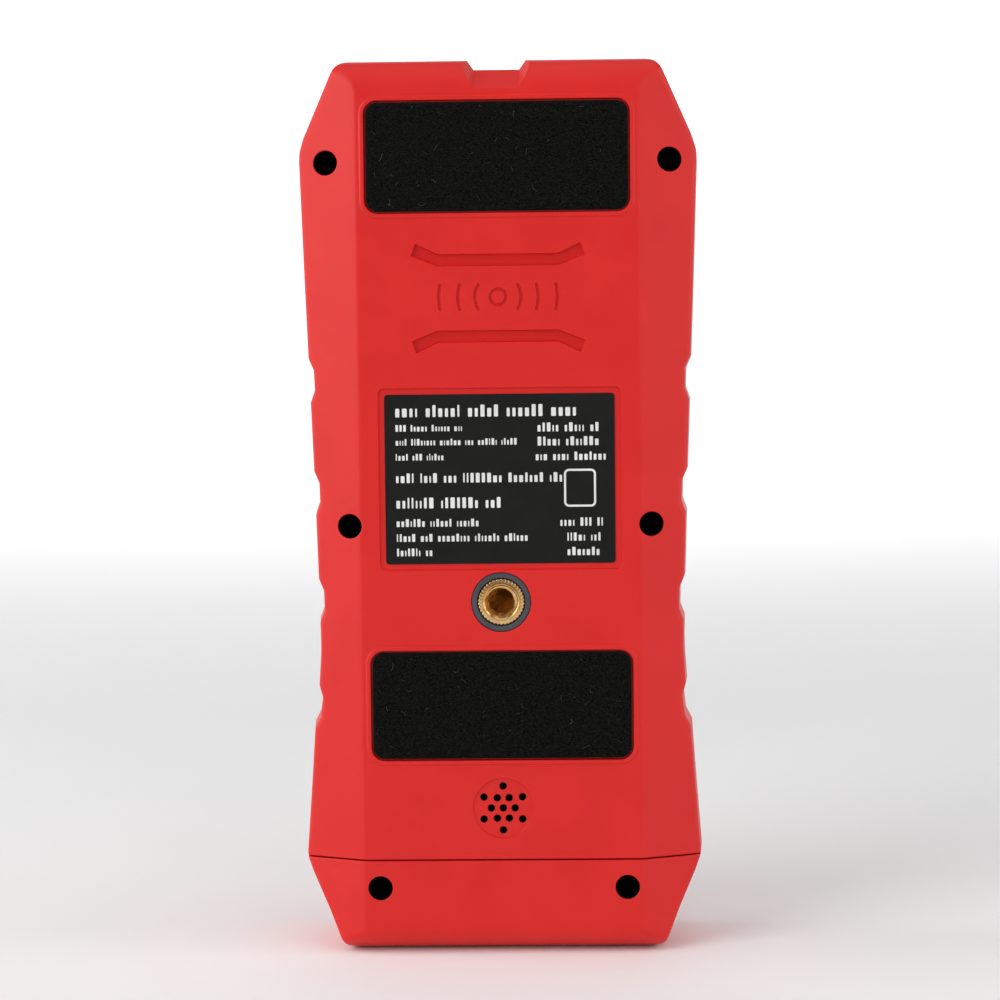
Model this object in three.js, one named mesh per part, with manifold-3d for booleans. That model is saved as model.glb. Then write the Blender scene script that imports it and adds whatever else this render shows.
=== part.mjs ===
// Handheld wall scanner (stud finder), modelled in millimetres.
//
// The scanner stands on its tail: +Z runs from the tail to the end with the marking notch, the padded
// back that slides on the wall faces -Y, and the display and keys face +Y. Inside the "scanner" group
// the Y coordinate is the depth below the flat back, and the group shifts the whole to its centre.

import * as THREE from 'three';
import { mergeVertices } from 'three/addons/utils/BufferGeometryUtils.js';
import Module from 'manifold-3d';

const wasm = await Module();
wasm.setup();

// ---------------------------------------------------------------- driving dimensions

const GAP = 0.3;                 // between pieces that touch
const LENGTH = 180;              // tail end to marking end
const HALF_WIDTH = 40.9;         // at the tail shoulder, on the parting plane
const DEPTH = 28;                // flat back to flat front
const PARTING = 14;              // depth of the plane where the two shells meet
const WALL = 2.2;                // moulded wall

const CREASE_INSET = 12.8;       // crease of the back bevel, in from the widest point
const BEVEL_ANGLE = 22.7;        // degrees
const SIDE_DRAFT = 1.2;          // how much narrower the back is than the parting plane
const TOP_ROLL = { length: 7.5, depth: 5.5 };
const TAIL_ROLL = { length: 6, depth: 9 };
const TAIL_SEAM_Z = 19.4;        // rear shell above it, tail cover below

const GRIP_NOTCHES = [50.2, 71.9, 93.7, 116.4];
const GRIP_NOTCH = { length: 8.6, ramp: 2.4, depth: 0.95 };
const MARK_NOTCH = {
  top: 11.8, floor: 9.1, depth: 1.9, straightFrom: 5.5, endFloor: 8.8, endFromTop: 5.8, endDepth: 0.5,
};

const FELT = { width: 52, height: 21.5, thickness: 1.1, corner: 2.3, proud: 0.6 };
const FELT_RECESS = { margin: 0.4, depth: 0.8 };
const FELT_RIM = { margin: 1.3, proud: 0.3 };
const FELT_UPPER_FROM_TOP = 19.4;
const FELT_LOWER_Z = 50.9;

const LABEL = { width: 46, height: 34, thickness: 0.25, corner: 0.7, z: 96.5 };
const LABEL_RECESS = { margin: 1.25, depth: 0.55, corner: 1.2 };

const CHEVRON = { halfFlat: 12, halfSpan: 17.3, slant: 0.9, bar: 2.4, rise: 2.1, depth: 0.8 };
const CHEVRON_UPPER_FROM_TOP = 39.85;
const CHEVRON_LOWER_FROM_TOP = 55;

const GRILLE = { z: 29.95, dishRadius: 6.1, dishDepth: 0.4, hole: 0.7, rings: [2.4, 4.5] };

const SCREW = { head: 2.1, headHeight: 1.8, shank: 1.25, length: 13.5, seat: 8 };
const COUNTERBORE = SCREW.head + 0.35;
const BOSS = COUNTERBORE + 1.45;
const CASE_SCREWS = [
  { name: 'top', inset: 6.6, fromTop: 20.2 },
  { name: 'middle', inset: 10.65, fromTail: 87.2 },
  { name: 'tail', inset: 15.9, fromTail: 13.7 },
];

const TRIPOD = {
  z: 71.75, major: 3.175, knurl: 4.75, length: 10, bore: 8.5, face: 0.2, chamfer: 0.6, sleeveWall: 0.65,
};
const SLEEVE = TRIPOD.knurl + GAP + TRIPOD.sleeveWall;

const BEZEL = { width: 60, height: 68, corner: 5, border: 6.5, proud: 0.6, fromTop: 51.5 };
const BEZEL_RECESS = 1.5;
const WINDOW_THICKNESS = 1.1;
const VIEW_MARGIN = 2.5;         // shell ledge under the window
const LCD = { thickness: 2, backlight: 1.8, rim: 1.6 };

const BOARD = { thickness: 1.6, behindFront: 7.4, sideInset: 11.4, tailZ: 9, fromTop: 8 };
const BOARD_SCREW = { head: 2, headHeight: 1.4, shank: 0.9, length: 4.6, x: 25, tailZ: 30, fromTop: 12 };
const BOARD_POST = 2.7;

const KEY = { proud: 1.2, bevel: 0.7, flange: 1, flangeThickness: 0.4, clearance: 0.4 };
const KEYS = [
  { name: 'power', x: 0, z: 56, radius: 8 },
  { name: 'mode', x: -18, z: 78, radius: 6.2 },
  { name: 'zero', x: 0, z: 78, radius: 6.2 },
  { name: 'laser', x: 18, z: 78, radius: 6.2 },
];
const SWITCH = { side: 6, height: 2.4, plunger: 1.7, well: 1.6, travel: 0.9 };

const USB = { z: 32, width: 9, height: 3.2, length: 7.4, metal: 0.3, back: 0.7, setback: 2.6, pad: 2.4,
  padMargin: 1.6, tongue: 0.7, tab: 14 };
const FLAP = { height: 13, width: 6 };

const SENSOR_BOARD = { halfWidth: 24, height: 58, thickness: 1, depth: 6, fromTop: 10 };
const COIL = { outer: 16, inner: 11, thickness: 2.4, fromTop: 49 };
const PLATE = { width: 20, height: 17, thickness: 0.4, apart: 4, fromTop: 21.5 };
const STAKE = { post: 2.6, peg: 1, proud: 0.7, x: 20, fromTop: 64 };

const LASER = { radius: 4.5, length: 19, fromTop: 6, nose: 3.5, noseLength: 1.2, exit: 2, aperture: 1.6 };
const LASER_WINDOW = { radius: 4, thickness: 1.1, beyondBarrel: 3 };
const LASER_SEAT = { halfWidth: 8, length: 9, back: 6 };

const RIB = { x: 12, thickness: 1.2, height: 1.5, length: 22, z: 51 };
const BATTERY = { width: 30, height: 20, thickness: 5.4, z: 13.6, depth: 8.6 };
const BATTERY_FOAM = 22;
const BATTERY_SOCKET = { width: 8, thickness: 3.6, height: 4.6, z: 34 };
const SOUNDER = { radius: 6.5, thickness: 4.4, clothThickness: 0.3 };
const CABLE = { wire: 0.5, lead: 0.6, ribbonWidth: 12, ribbonThickness: 0.4 };
const RIBBON_SOCKET = { width: 15, height: 4, thickness: 2, fromTop: 58, slack: 4 };
const PROCESSOR = { x: -11, z: 97, width: 10, height: 10, thickness: 1.2 };
const SHIELD = { x: 12, z: 97, width: 18, height: 14, thickness: 2.8, sheet: 0.5 };
const LIGHT_PIPE = { radius: 1.5, fromTop: 11.5, proud: 0.3, led: 1.2 };

// ---------------------------------------------------------------- levels worked out from them

const FRONT_INSIDE = DEPTH - WALL - 0.2;
const BOARD_FRONT = DEPTH - BOARD.behindFront;
const BOARD_BACK = BOARD_FRONT - BOARD.thickness;
const BOARD_HALF_WIDTH = HALF_WIDTH - BOARD.sideInset;
const BOARD_TOP = LENGTH - BOARD.fromTop;
const CREASE = HALF_WIDTH - CREASE_INSET;
const SLOPE = Math.tan(THREE.MathUtils.degToRad(BEVEL_ANGLE));
const FRONTMOST = DEPTH + KEY.proud;
const REARMOST = -FELT.proud;
const FAR = 60;                  // past every face, for cutting solids

// ---------------------------------------------------------------- materials

function finish(color, roughness, metalness = 0, opacity = 1) {
  return new THREE.MeshStandardMaterial({ color, roughness, metalness, opacity, transparent: opacity < 1 });
}

const MATERIALS = {
  shell: finish(0xd42f2b, 0.5),
  felt: finish(0x10100e, 0.95),
  label: finish(0x21211f, 0.6),
  brass: finish(0xb08d4a, 0.3, 1),
  darkPlastic: finish(0x26262a, 0.5),
  sleeve: finish(0x3c3e50, 0.55),
  rubber: finish(0x1d1d1f, 0.8),
  screw: finish(0x101012, 0.4, 1),
  steel: finish(0xb8bcc0, 0.3, 1),
  board: finish(0x1c5c36, 0.5),
  copper: finish(0xb4693c, 0.35, 1),
  whitePlastic: finish(0xe6e4da, 0.5),
  glass: finish(0x0c1014, 0.08),
  clear: finish(0xdfe8ea, 0.1, 0, 0.4),
  foil: finish(0xc3c6c9, 0.35, 1),
  foam: finish(0x35353a, 0.95),
  wireRed: finish(0xb02020, 0.5),
  wireBlack: finish(0x18181a, 0.5),
};

// ---------------------------------------------------------------- solids

function toSolid(geometry) {
  const bare = geometry.clone();
  bare.deleteAttribute('normal');
  bare.deleteAttribute('uv');
  const merged = mergeVertices(bare, 1e-4);
  return new wasm.Manifold(new wasm.Mesh({
    numProp: 3,
    vertProperties: new Float32Array(merged.attributes.position.array),
    triVerts: new Uint32Array(merged.index.array),
  }));
}

function toGeometry(solid) {
  const mesh = solid.getMesh();
  const geometry = new THREE.BufferGeometry();
  geometry.setAttribute('position', new THREE.BufferAttribute(mesh.vertProperties, 3));
  geometry.setIndex(new THREE.BufferAttribute(mesh.triVerts, 1));
  const faceted = geometry.toNonIndexed();
  faceted.computeVertexNormals();
  return faceted;
}

function block(x0, x1, y0, y1, z0, z1) {
  const geometry = new THREE.BoxGeometry(x1 - x0, y1 - y0, z1 - z0);
  geometry.translate((x0 + x1) / 2, (y0 + y1) / 2, (z0 + z1) / 2);
  return toSolid(geometry);
}

// A round bar along Y, from depth y0 to y1.
function rodY(radius, x, z, y0, y1, sides = 16) {
  const geometry = new THREE.CylinderGeometry(radius, radius, y1 - y0, sides);
  geometry.translate(x, (y0 + y1) / 2, z);
  return toSolid(geometry);
}

// A round bar along Z.
function rodZ(radius, x, y, z0, z1, sides = 20) {
  const geometry = new THREE.CylinderGeometry(radius, radius, z1 - z0, sides);
  geometry.rotateX(Math.PI / 2);
  geometry.translate(x, y, (z0 + z1) / 2);
  return toSolid(geometry);
}

// An outline drawn in X and Z, given thickness along Y.
function plate(shape, y0, y1, curveSegments = 4) {
  const settings = { depth: y1 - y0, bevelEnabled: false, curveSegments };
  const geometry = new THREE.ExtrudeGeometry(shape, settings);
  geometry.rotateX(Math.PI / 2);
  geometry.translate(0, y1, 0);
  return toSolid(geometry);
}

// An outline drawn in X and Y, given length along Z.
function prismZ(shape, z0, z1) {
  const geometry = new THREE.ExtrudeGeometry(shape, { depth: z1 - z0, bevelEnabled: false });
  geometry.translate(0, 0, z0);
  return toSolid(geometry);
}

// An outline drawn in Y and Z, given width along X.
function prismX(shape, x0, x1, curveSegments = 6) {
  const settings = { depth: x1 - x0, bevelEnabled: false, curveSegments };
  const geometry = new THREE.ExtrudeGeometry(shape, settings);
  geometry.applyMatrix4(new THREE.Matrix4().makeBasis(
    new THREE.Vector3(0, 1, 0), new THREE.Vector3(0, 0, 1), new THREE.Vector3(1, 0, 0)));
  geometry.translate(x0, 0, 0);
  return toSolid(geometry);
}

function polygon(points) {
  return new THREE.Shape(points.map(([a, b]) => new THREE.Vector2(a, b)));
}

function roundedRectangle(width, height, corner, x = 0, z = 0) {
  const shape = new THREE.Shape();
  const right = x + width / 2 - corner;
  const left = x - width / 2 + corner;
  const top = z + height / 2 - corner;
  const bottom = z - height / 2 + corner;
  shape.absarc(right, bottom, corner, -Math.PI / 2, 0);
  shape.absarc(right, top, corner, 0, Math.PI / 2);
  shape.absarc(left, top, corner, Math.PI / 2, Math.PI);
  shape.absarc(left, bottom, corner, Math.PI, 1.5 * Math.PI);
  return shape;
}

// A tube along a line of points, for wires.
function wire(points, radius) {
  const path = new THREE.CatmullRomCurve3(points.map((point) => new THREE.Vector3(...point)));
  const section = new THREE.Shape().absarc(0, 0, radius, 0, 2 * Math.PI);
  const settings = { steps: 4 * points.length, extrudePath: path, curveSegments: 4 };
  return toSolid(new THREE.ExtrudeGeometry(section, settings));
}

function joined(...solids) {
  return solids.reduce((sum, solid) => sum.add(solid));
}

// ---------------------------------------------------------------- case outline

// Right-hand edge on the parting plane, as [inset from the widest point, height]. The inside of the case
// leaves out the points that round the corners, so that it can be drawn in by a wall without crossing.
function edgePoints(rounded = true) {
  const tailCorner = rounded ? [[9.3, 0.34], [7.85, 1.3]] : [];
  const topCorner = rounded ? [[8.2, 1.15], [9.5, 0.3]] : [];
  const lower = [[11, 0], ...tailCorner, [6.87, 2.74], [4.6, 8.1], [1.2, 16], [0, 19.4], [1.2, 35]];
  const waist = [[2, 46.5], [2.9, 54], [3.45, 62], [3.15, 76.7], [2.5, 98.9]];
  const upper = [[1.2, 44.8], [0.4, 19.8], [0.5, 17.7], [1.4, 14.8], [7.27, 2.4], ...topCorner, [11.05, 0]];
  const fromTop = upper.map(([inset, down]) => [inset, LENGTH - down]);
  return [...lower, ...waist, ...fromTop].map(([inset, z]) => [HALF_WIDTH - inset, z]);
}

function edgeAt(z) {
  const points = edgePoints();
  const next = points.findIndex((point) => point[1] >= z && point[1] > 0);
  const [x0, z0] = points[next - 1];
  const [x1, z1] = points[next];
  return x0 + (x1 - x0) * (z - z0) / (z1 - z0);
}

function edgeWithNotches(rounded) {
  const points = edgePoints(rounded);
  const half = GRIP_NOTCH.length / 2;
  for (const z of GRIP_NOTCHES) {
    const clear = points.filter((point) => Math.abs(point[1] - z) > half);
    const floor = half - GRIP_NOTCH.ramp;
    const cut = [[-half, 0], [-floor, GRIP_NOTCH.depth], [floor, GRIP_NOTCH.depth], [half, 0]];
    const added = cut.map(([dz, depth]) => [edgeAt(z + dz) - depth, z + dz]);
    points.splice(0, points.length, ...clear, ...added);
  }
  return points.sort((a, b) => a[1] - b[1] || a[0] - b[0]);
}

// The whole edge as a loop, drawn in by one amount at the sides and another at the two ends.
function outline(sideInset, endInset, rounded) {
  const right = edgeWithNotches(rounded);
  const top = right.filter((point) => point[1] > LENGTH / 2).reverse();
  const rest = right.filter((point) => point[1] <= LENGTH / 2).reverse();
  const down = [...top, ...rest];
  const up = [...down].reverse().map(([x, z]) => [-x, z]);
  const loop = [...down, ...up].map(([x, z]) => new THREE.Vector2(x, z));
  return loop.map((point, i) => {
    const before = loop[(i + loop.length - 1) % loop.length];
    const after = loop[(i + 1) % loop.length];
    const into = new THREE.Vector2().subVectors(point, before).normalize();
    const out = new THREE.Vector2().subVectors(after, point).normalize();
    const inward = new THREE.Vector2(into.y + out.y, -into.x - out.x).normalize();
    const stretch = 1 / Math.max(0.4, inward.x * into.y - inward.y * into.x);
    const moved = point.clone().addScaledVector(inward, sideInset * stretch);
    const nearEnd = 3;
    if (point.y < nearEnd) moved.y += endInset - sideInset;
    if (point.y > LENGTH - nearEnd) moved.y -= endInset - sideInset;
    return moved;
  });
}

// A solid skinned over outlines at increasing depths.
function loft(levels, rounded) {
  const rings = levels.map(({ side, end }) => outline(side, end, rounded));
  const count = rings[0].length;
  const positions = [];
  rings.forEach((ring, i) => ring.forEach((point) => positions.push(point.x, levels[i].y, point.y)));
  const index = [];
  for (let i = 0; i + 1 < rings.length; i += 1) {
    for (let j = 0; j < count; j += 1) {
      const a = i * count + j;
      const b = i * count + (j + 1) % count;
      index.push(a, b, b + count, a, b + count, a + count);
    }
  }
  const last = (rings.length - 1) * count;
  for (const [a, b, c] of THREE.ShapeUtils.triangulateShape(rings[0], [])) index.push(a, b, c);
  for (const [a, b, c] of THREE.ShapeUtils.triangulateShape(rings.at(-1), [])) {
    index.push(last + a, last + c, last + b);
  }
  const geometry = new THREE.BufferGeometry();
  geometry.setAttribute('position', new THREE.Float32BufferAttribute(positions, 3));
  geometry.setIndex(index);
  return toSolid(geometry);
}

// Rear half of the case, drawn in by a skin thickness.
function rearForm(skin, parting) {
  const walls = loft([
    { y: -1, side: SIDE_DRAFT + skin, end: skin },
    { y: parting, side: skin, end: skin },
  ], skin === 0);
  const rise = skin / Math.cos(THREE.MathUtils.degToRad(BEVEL_ANGLE));
  const crease = CREASE - (rise - skin) / SLOPE;
  const reach = skin + (FAR - crease) * SLOPE;
  const section = polygon([
    [-FAR, FAR], [-FAR, reach], [-crease, skin], [crease, skin], [FAR, reach], [FAR, FAR],
  ]);
  const profile = new THREE.Shape();
  profile.moveTo(FAR, skin);
  profile.lineTo(TAIL_ROLL.depth + skin, skin);
  profile.absellipse(TAIL_ROLL.depth + skin, TAIL_ROLL.length + skin, TAIL_ROLL.depth, TAIL_ROLL.length,
    -Math.PI / 2, -Math.PI, true);
  profile.absellipse(TOP_ROLL.depth + skin, LENGTH - TOP_ROLL.length - skin, TOP_ROLL.depth, TOP_ROLL.length,
    Math.PI, Math.PI / 2, true);
  profile.lineTo(FAR, LENGTH - skin);
  return walls.intersect(prismZ(section, -1, LENGTH + 1)).intersect(prismX(profile, -FAR, FAR));
}

const FRONT_LEVELS = [
  { y: PARTING + GAP / 2, side: 0, end: 0 },
  { y: DEPTH - 7, side: 0.8, end: 0 },
  { y: DEPTH - 2.5, side: 1.8, end: 0.8 },
  { y: DEPTH, side: 3.7, end: 2.8 },
];

function frontForm() {
  return loft(FRONT_LEVELS, true);
}

function frontCavity() {
  const [parting, side, edge] = FRONT_LEVELS;
  return loft([
    { y: PARTING - 1, side: parting.side + WALL, end: parting.end + WALL },
    { y: side.y, side: side.side + WALL, end: side.end + WALL },
    { y: FRONT_INSIDE, side: edge.side + WALL, end: edge.end + WALL },
  ], false);
}

// A vee with a flat floor across the marking end, which runs out down the rolled edge of the back.
function markNotch() {
  const { top, floor, depth, straightFrom, endFloor, endFromTop, endDepth } = MARK_NOTCH;
  const flare = (top - floor) / 2 / depth;
  const run = straightFrom - endDepth;
  const fall = (endFromTop - depth) / run;
  const narrowing = (floor - endFloor) / 2 / run;
  const section = (y, down, half) => [-1, 1].flatMap((side) => [
    [side * half, y, LENGTH - down],
    [side * (half + (down + 1) * flare), y, LENGTH + 1],
  ]);
  const past = straightFrom + 1;
  const start = section(straightFrom, depth, floor / 2);
  const slanted = wasm.Manifold.hull([
    ...start, ...section(-1, depth + fall * past, floor / 2 - narrowing * past)]);
  const straight = wasm.Manifold.hull([...start, ...section(FAR, depth, floor / 2)]);
  return slanted.add(straight);
}

// ---------------------------------------------------------------- places shared by several pieces

function caseScrewPlaces(name) {
  const screw = CASE_SCREWS.find((entry) => entry.name === name);
  const z = screw.fromTail ?? LENGTH - screw.fromTop;
  const x = HALF_WIDTH - screw.inset;
  return [{ side: 'left', x: -x, z }, { side: 'right', x, z }];
}

function boardScrewPlaces() {
  const rows = [['lower', BOARD_SCREW.tailZ], ['upper', LENGTH - BOARD_SCREW.fromTop]];
  return rows.flatMap(([row, z]) => [['left', -1], ['right', 1]].map(([side, sign]) => (
    { name: `${row}_${side}`, x: sign * BOARD_SCREW.x, z })));
}

function stakePlaces() {
  const z = LENGTH - STAKE.fromTop;
  return [-1, 1].map((sign) => ({ x: sign * STAKE.x, z }));
}

const FELT_PLACES = { upper: LENGTH - FELT_UPPER_FROM_TOP, lower: FELT_LOWER_Z };
const BEZEL_Z = LENGTH - BEZEL.fromTop;
const BEZEL_FLOOR = DEPTH - BEZEL_RECESS;
const WINDOW_SIZE = [BEZEL.width - 2 * BEZEL.border, BEZEL.height - 2 * BEZEL.border];
const LASER_TOP = LENGTH - LASER.fromTop;
const BATTERY_TOP = BATTERY.z + BATTERY.height / 2;
const USB_FACE = edgeAt(USB.z) - FRONT_LEVELS[1].side;
const USB_MOUTH = USB_FACE - USB.setback;
const USB_DEPTH = BOARD_FRONT + GAP + USB.height / 2;
const FLAP_FLOOR = USB_MOUTH + GAP;

// ---------------------------------------------------------------- shells

function rearCutouts() {
  const cuts = [];
  for (const z of Object.values(FELT_PLACES)) {
    const rim = 2 * FELT_RECESS.margin;
    const recess = roundedRectangle(FELT.width + rim, FELT.height + rim, FELT.corner + rim / 2, 0, z);
    cuts.push(plate(recess, -1, FELT_RECESS.depth));
  }
  const rim = 2 * LABEL_RECESS.margin;
  const label = roundedRectangle(LABEL.width + rim, LABEL.height + rim, LABEL_RECESS.corner, 0, LABEL.z);
  cuts.push(plate(label, -1, LABEL_RECESS.depth));
  cuts.push(chevron(LENGTH - CHEVRON_UPPER_FROM_TOP, 1), chevron(LENGTH - CHEVRON_LOWER_FROM_TOP, -1));
  cuts.push(rodY(GRILLE.dishRadius, 0, GRILLE.z, -1, GRILLE.dishDepth, 24), ...grilleHoles());
  cuts.push(rodY(SLEEVE + GAP, 0, TRIPOD.z, -1, TRIPOD.length + GAP, 24));
  cuts.push(markNotch(), ...laserSpace());
  return cuts;
}

// The raised frame round a felt pad.
function feltRim(z) {
  const reach = 2 * FELT_RIM.margin;
  const corner = FELT.corner + FELT_RIM.margin;
  const shape = roundedRectangle(FELT.width + reach, FELT.height + reach, corner, 0, z);
  return plate(shape, -FELT_RIM.proud, WALL / 2);
}

// A shallow bar whose two ends turn up (or down).
function chevron(z, up) {
  const { halfFlat, halfSpan, bar, rise, depth } = CHEVRON;
  const tip = halfSpan - CHEVRON.slant;
  const outer = [[-halfFlat, -1], [halfFlat, -1], [halfSpan, -1], [tip, 1], [halfFlat, 1], [-halfFlat, 1]];
  const points = [...outer, [-tip, 1], [-halfSpan, -1]].map(([x, side]) => {
    const lift = Math.abs(x) > halfFlat ? rise : 0;
    return [x, z + up * (side * bar / 2 + lift)];
  });
  return plate(polygon(points), -1, depth);
}

function grilleHoles() {
  const places = [[0, 0]];
  GRILLE.rings.forEach((radius, ring) => {
    for (let i = 0; i < 6; i += 1) {
      const angle = (i + ring / 2) * Math.PI / 3;
      places.push([radius * Math.cos(angle), radius * Math.sin(angle)]);
    }
  });
  return places.map(([x, z]) => rodY(GRILLE.hole, x, GRILLE.z + z, -1, WALL + 1, 8));
}

function screwBosses(name) {
  return caseScrewPlaces(name).map(({ x, z }) => rodY(BOSS, x, z, 0, PARTING - GAP / 2));
}

function screwHoles(name) {
  return caseScrewPlaces(name).flatMap(({ x, z }) => [
    rodY(COUNTERBORE, x, z, -1, SCREW.seat),
    rodY(SCREW.shank + GAP, x, z, 0, PARTING + 1, 12),
  ]);
}

// The laser barrel is clamped between the two halves of the case, behind the marking notch.
function laserSeat(y0, y1) {
  const { halfWidth, length } = LASER_SEAT;
  return block(-halfWidth, halfWidth, y0, y1, LENGTH - WALL - length, LENGTH - WALL / 2);
}

function laserSpace() {
  const windowTop = LASER_TOP + LASER_WINDOW.beyondBarrel + GAP;
  return [
    rodZ(LASER.radius + GAP, 0, PARTING, LASER_TOP - LASER.length, LASER_TOP - LASER.noseLength + GAP),
    rodZ(LASER_WINDOW.radius + GAP, 0, PARTING, LASER_TOP - LASER.noseLength, windowTop),
    rodZ(LASER.exit, 0, PARTING, LASER_TOP, LENGTH + 1),
  ];
}

function paddingRib(x) {
  const half = RIB.thickness / 2;
  const reach = RIB.length / 2;
  return block(x - half, x + half, WALL / 2, WALL + RIB.height, RIB.z - reach, RIB.z + reach);
}

function rearShell() {
  const form = rearForm(0, PARTING - GAP / 2);
  let shell = form.subtract(rearForm(WALL, PARTING + 1));
  const postTop = SENSOR_BOARD.depth - GAP;
  const pegTop = SENSOR_BOARD.depth + SENSOR_BOARD.thickness + STAKE.proud;
  shell = joined(
    shell,
    ...Object.values(FELT_PLACES).map(feltRim),
    ...screwBosses('top').map((boss) => boss.intersect(form)),
    ...screwBosses('middle').map((boss) => boss.intersect(form)),
    ...stakePlaces().map(({ x, z }) => rodY(STAKE.post, x, z, WALL / 2, postTop, 12)),
    ...stakePlaces().map(({ x, z }) => rodY(STAKE.peg, x, z, WALL / 2, pegTop, 8)),
    rodY(SLEEVE + GAP + 1.6, 0, TRIPOD.z, WALL / 2, TRIPOD.length + GAP + 1.4, 24),
    laserSeat(PARTING - LASER_SEAT.back, PARTING - GAP / 2),
    ...[-1, 1].map((side) => paddingRib(side * RIB.x)),
  );
  const cuts = [
    ...rearCutouts(),
    ...screwHoles('top'),
    ...screwHoles('middle'),
    block(-FAR, FAR, -2, FAR, -1, TAIL_SEAM_Z + GAP / 2),
  ];
  return shell.subtract(joined(...cuts));
}

function tailCover() {
  const form = rearForm(0, PARTING - GAP / 2);
  const shell = joined(form.subtract(rearForm(WALL, PARTING + 1)), ...screwBosses('tail'));
  const above = block(-FAR, FAR, -2, FAR, TAIL_SEAM_Z - GAP / 2, LENGTH + 1);
  return shell.subtract(joined(above, ...screwHoles('tail')));
}

function frontShell() {
  const form = frontForm();
  const back = PARTING + GAP / 2;
  const posts = CASE_SCREWS.flatMap(({ name }) => caseScrewPlaces(name));
  const padHalf = FLAP.height / 2 + USB.padMargin;
  const usbPad = block(USB_MOUTH - USB.pad, USB_FACE, USB_DEPTH - FLAP.width / 2 - USB.padMargin,
    USB_DEPTH + FLAP.width / 2 + 1, USB.z - padHalf, USB.z + padHalf);
  const shell = joined(
    form.subtract(frontCavity()),
    ...posts.map(({ x, z }) => rodY(BOSS - 0.3, x, z, back, DEPTH - WALL / 2, 16).intersect(form)),
    ...boardScrewPlaces().map(({ x, z }) => rodY(BOARD_POST, x, z, BOARD_FRONT + GAP, DEPTH - WALL / 2, 12)),
    usbPad.intersect(form),
    laserSeat(back, BOARD_BACK - GAP),
  );
  const around = 2 * GAP;
  const bezel = roundedRectangle(BEZEL.width + around, BEZEL.height + around, BEZEL.corner + GAP, 0, BEZEL_Z);
  const [windowWidth, windowHeight] = WINDOW_SIZE;
  const view = roundedRectangle(windowWidth - 2 * VIEW_MARGIN, windowHeight - 2 * VIEW_MARGIN, 1, 0, BEZEL_Z);
  const socket = block(0, FAR, USB_DEPTH - USB.height / 2 - GAP, USB_DEPTH + USB.height / 2 + GAP,
    USB.z - USB.width / 2 - GAP, USB.z + USB.width / 2 + GAP);
  const socketHole = socket.intersect(block(USB_MOUTH - USB.length, FAR, 0, FAR, 0, LENGTH));
  const pilot = BOARD_SCREW.shank + GAP;
  const cuts = [
    plate(bezel, BEZEL_FLOOR, FAR),
    plate(view, FRONT_INSIDE - 1, FAR),
    ...KEYS.map(({ x, z, radius }) => rodY(radius + KEY.clearance, x, z, FRONT_INSIDE - 1, FAR, 24)),
    ...posts.map(({ x, z }) => rodY(SCREW.shank + GAP, x, z, back - 1, SCREW.seat + SCREW.length + 1, 12)),
    ...boardScrewPlaces().map(({ x, z }) => rodY(pilot, x, z, BOARD_FRONT, FRONT_INSIDE - 0.4, 8)),
    rodY(LIGHT_PIPE.radius + GAP, 0, LENGTH - LIGHT_PIPE.fromTop, BOARD_FRONT, FAR, 12),
    socketHole,
    flapSpace(GAP),
    markNotch(),
    ...laserSpace(),
  ];
  return shell.subtract(joined(...cuts));
}

// ---------------------------------------------------------------- pieces on the outside

function feltPad(z) {
  const shape = roundedRectangle(FELT.width, FELT.height, FELT.corner, 0, z);
  return plate(shape, -FELT.proud, FELT.thickness - FELT.proud);
}

function ratingLabel() {
  return plate(roundedRectangle(LABEL.width, LABEL.height, LABEL.corner, 0, LABEL.z), 0, LABEL.thickness, 2);
}

// The mouth has a 45 degree chamfer.
function tripodInsert() {
  const { face, chamfer, major } = TRIPOD;
  const above = 1;
  const mouth = new THREE.LatheGeometry([
    new THREE.Vector2(0, face - above), new THREE.Vector2(major + chamfer + above, face - above),
    new THREE.Vector2(major, face + chamfer), new THREE.Vector2(0, face + chamfer),
  ], 16);
  mouth.translate(0, 0, TRIPOD.z);
  const barrel = rodY(TRIPOD.knurl, 0, TRIPOD.z, face, TRIPOD.length, 24);
  return barrel.subtract(rodY(TRIPOD.major, 0, TRIPOD.z, -1, TRIPOD.bore, 16)).subtract(toSolid(mouth));
}

function insertSleeve() {
  const ring = rodY(SLEEVE, 0, TRIPOD.z, TRIPOD.face / 2, TRIPOD.length, 24);
  return ring.subtract(rodY(TRIPOD.knurl + GAP, 0, TRIPOD.z, -1, FAR, 24));
}

function screw(x, z, y, { head, headHeight, shank, length }, sides = 12) {
  const body = joined(rodY(head, x, z, y - headHeight, y, 16), rodY(shank, x, z, y - 0.1, y + length, sides));
  const cross = joined(
    block(x - head * 0.6, x + head * 0.6, y - headHeight - 1, y - headHeight / 2, z - 0.3, z + 0.3),
    block(x - 0.3, x + 0.3, y - headHeight - 1, y - headHeight / 2, z - head * 0.6, z + head * 0.6),
  );
  return body.subtract(cross);
}

function sounderCloth() {
  return rodY(GRILLE.dishRadius + 0.4, 0, GRILLE.z, WALL + GAP, WALL + GAP + SOUNDER.clothThickness, 20);
}

function displayWindow() {
  const [width, height] = WINDOW_SIZE;
  const shape = roundedRectangle(width - 2 * GAP, height - 2 * GAP, 1, 0, BEZEL_Z);
  return plate(shape, BEZEL_FLOOR + GAP, BEZEL_FLOOR + GAP + WINDOW_THICKNESS);
}

function frontBezel() {
  const [width, height] = WINDOW_SIZE;
  const body = plate(roundedRectangle(BEZEL.width, BEZEL.height, BEZEL.corner, 0, BEZEL_Z), BEZEL_FLOOR + GAP,
    DEPTH + BEZEL.proud);
  return body.subtract(plate(roundedRectangle(width, height, 1.3, 0, BEZEL_Z), 0, FAR));
}

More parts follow.
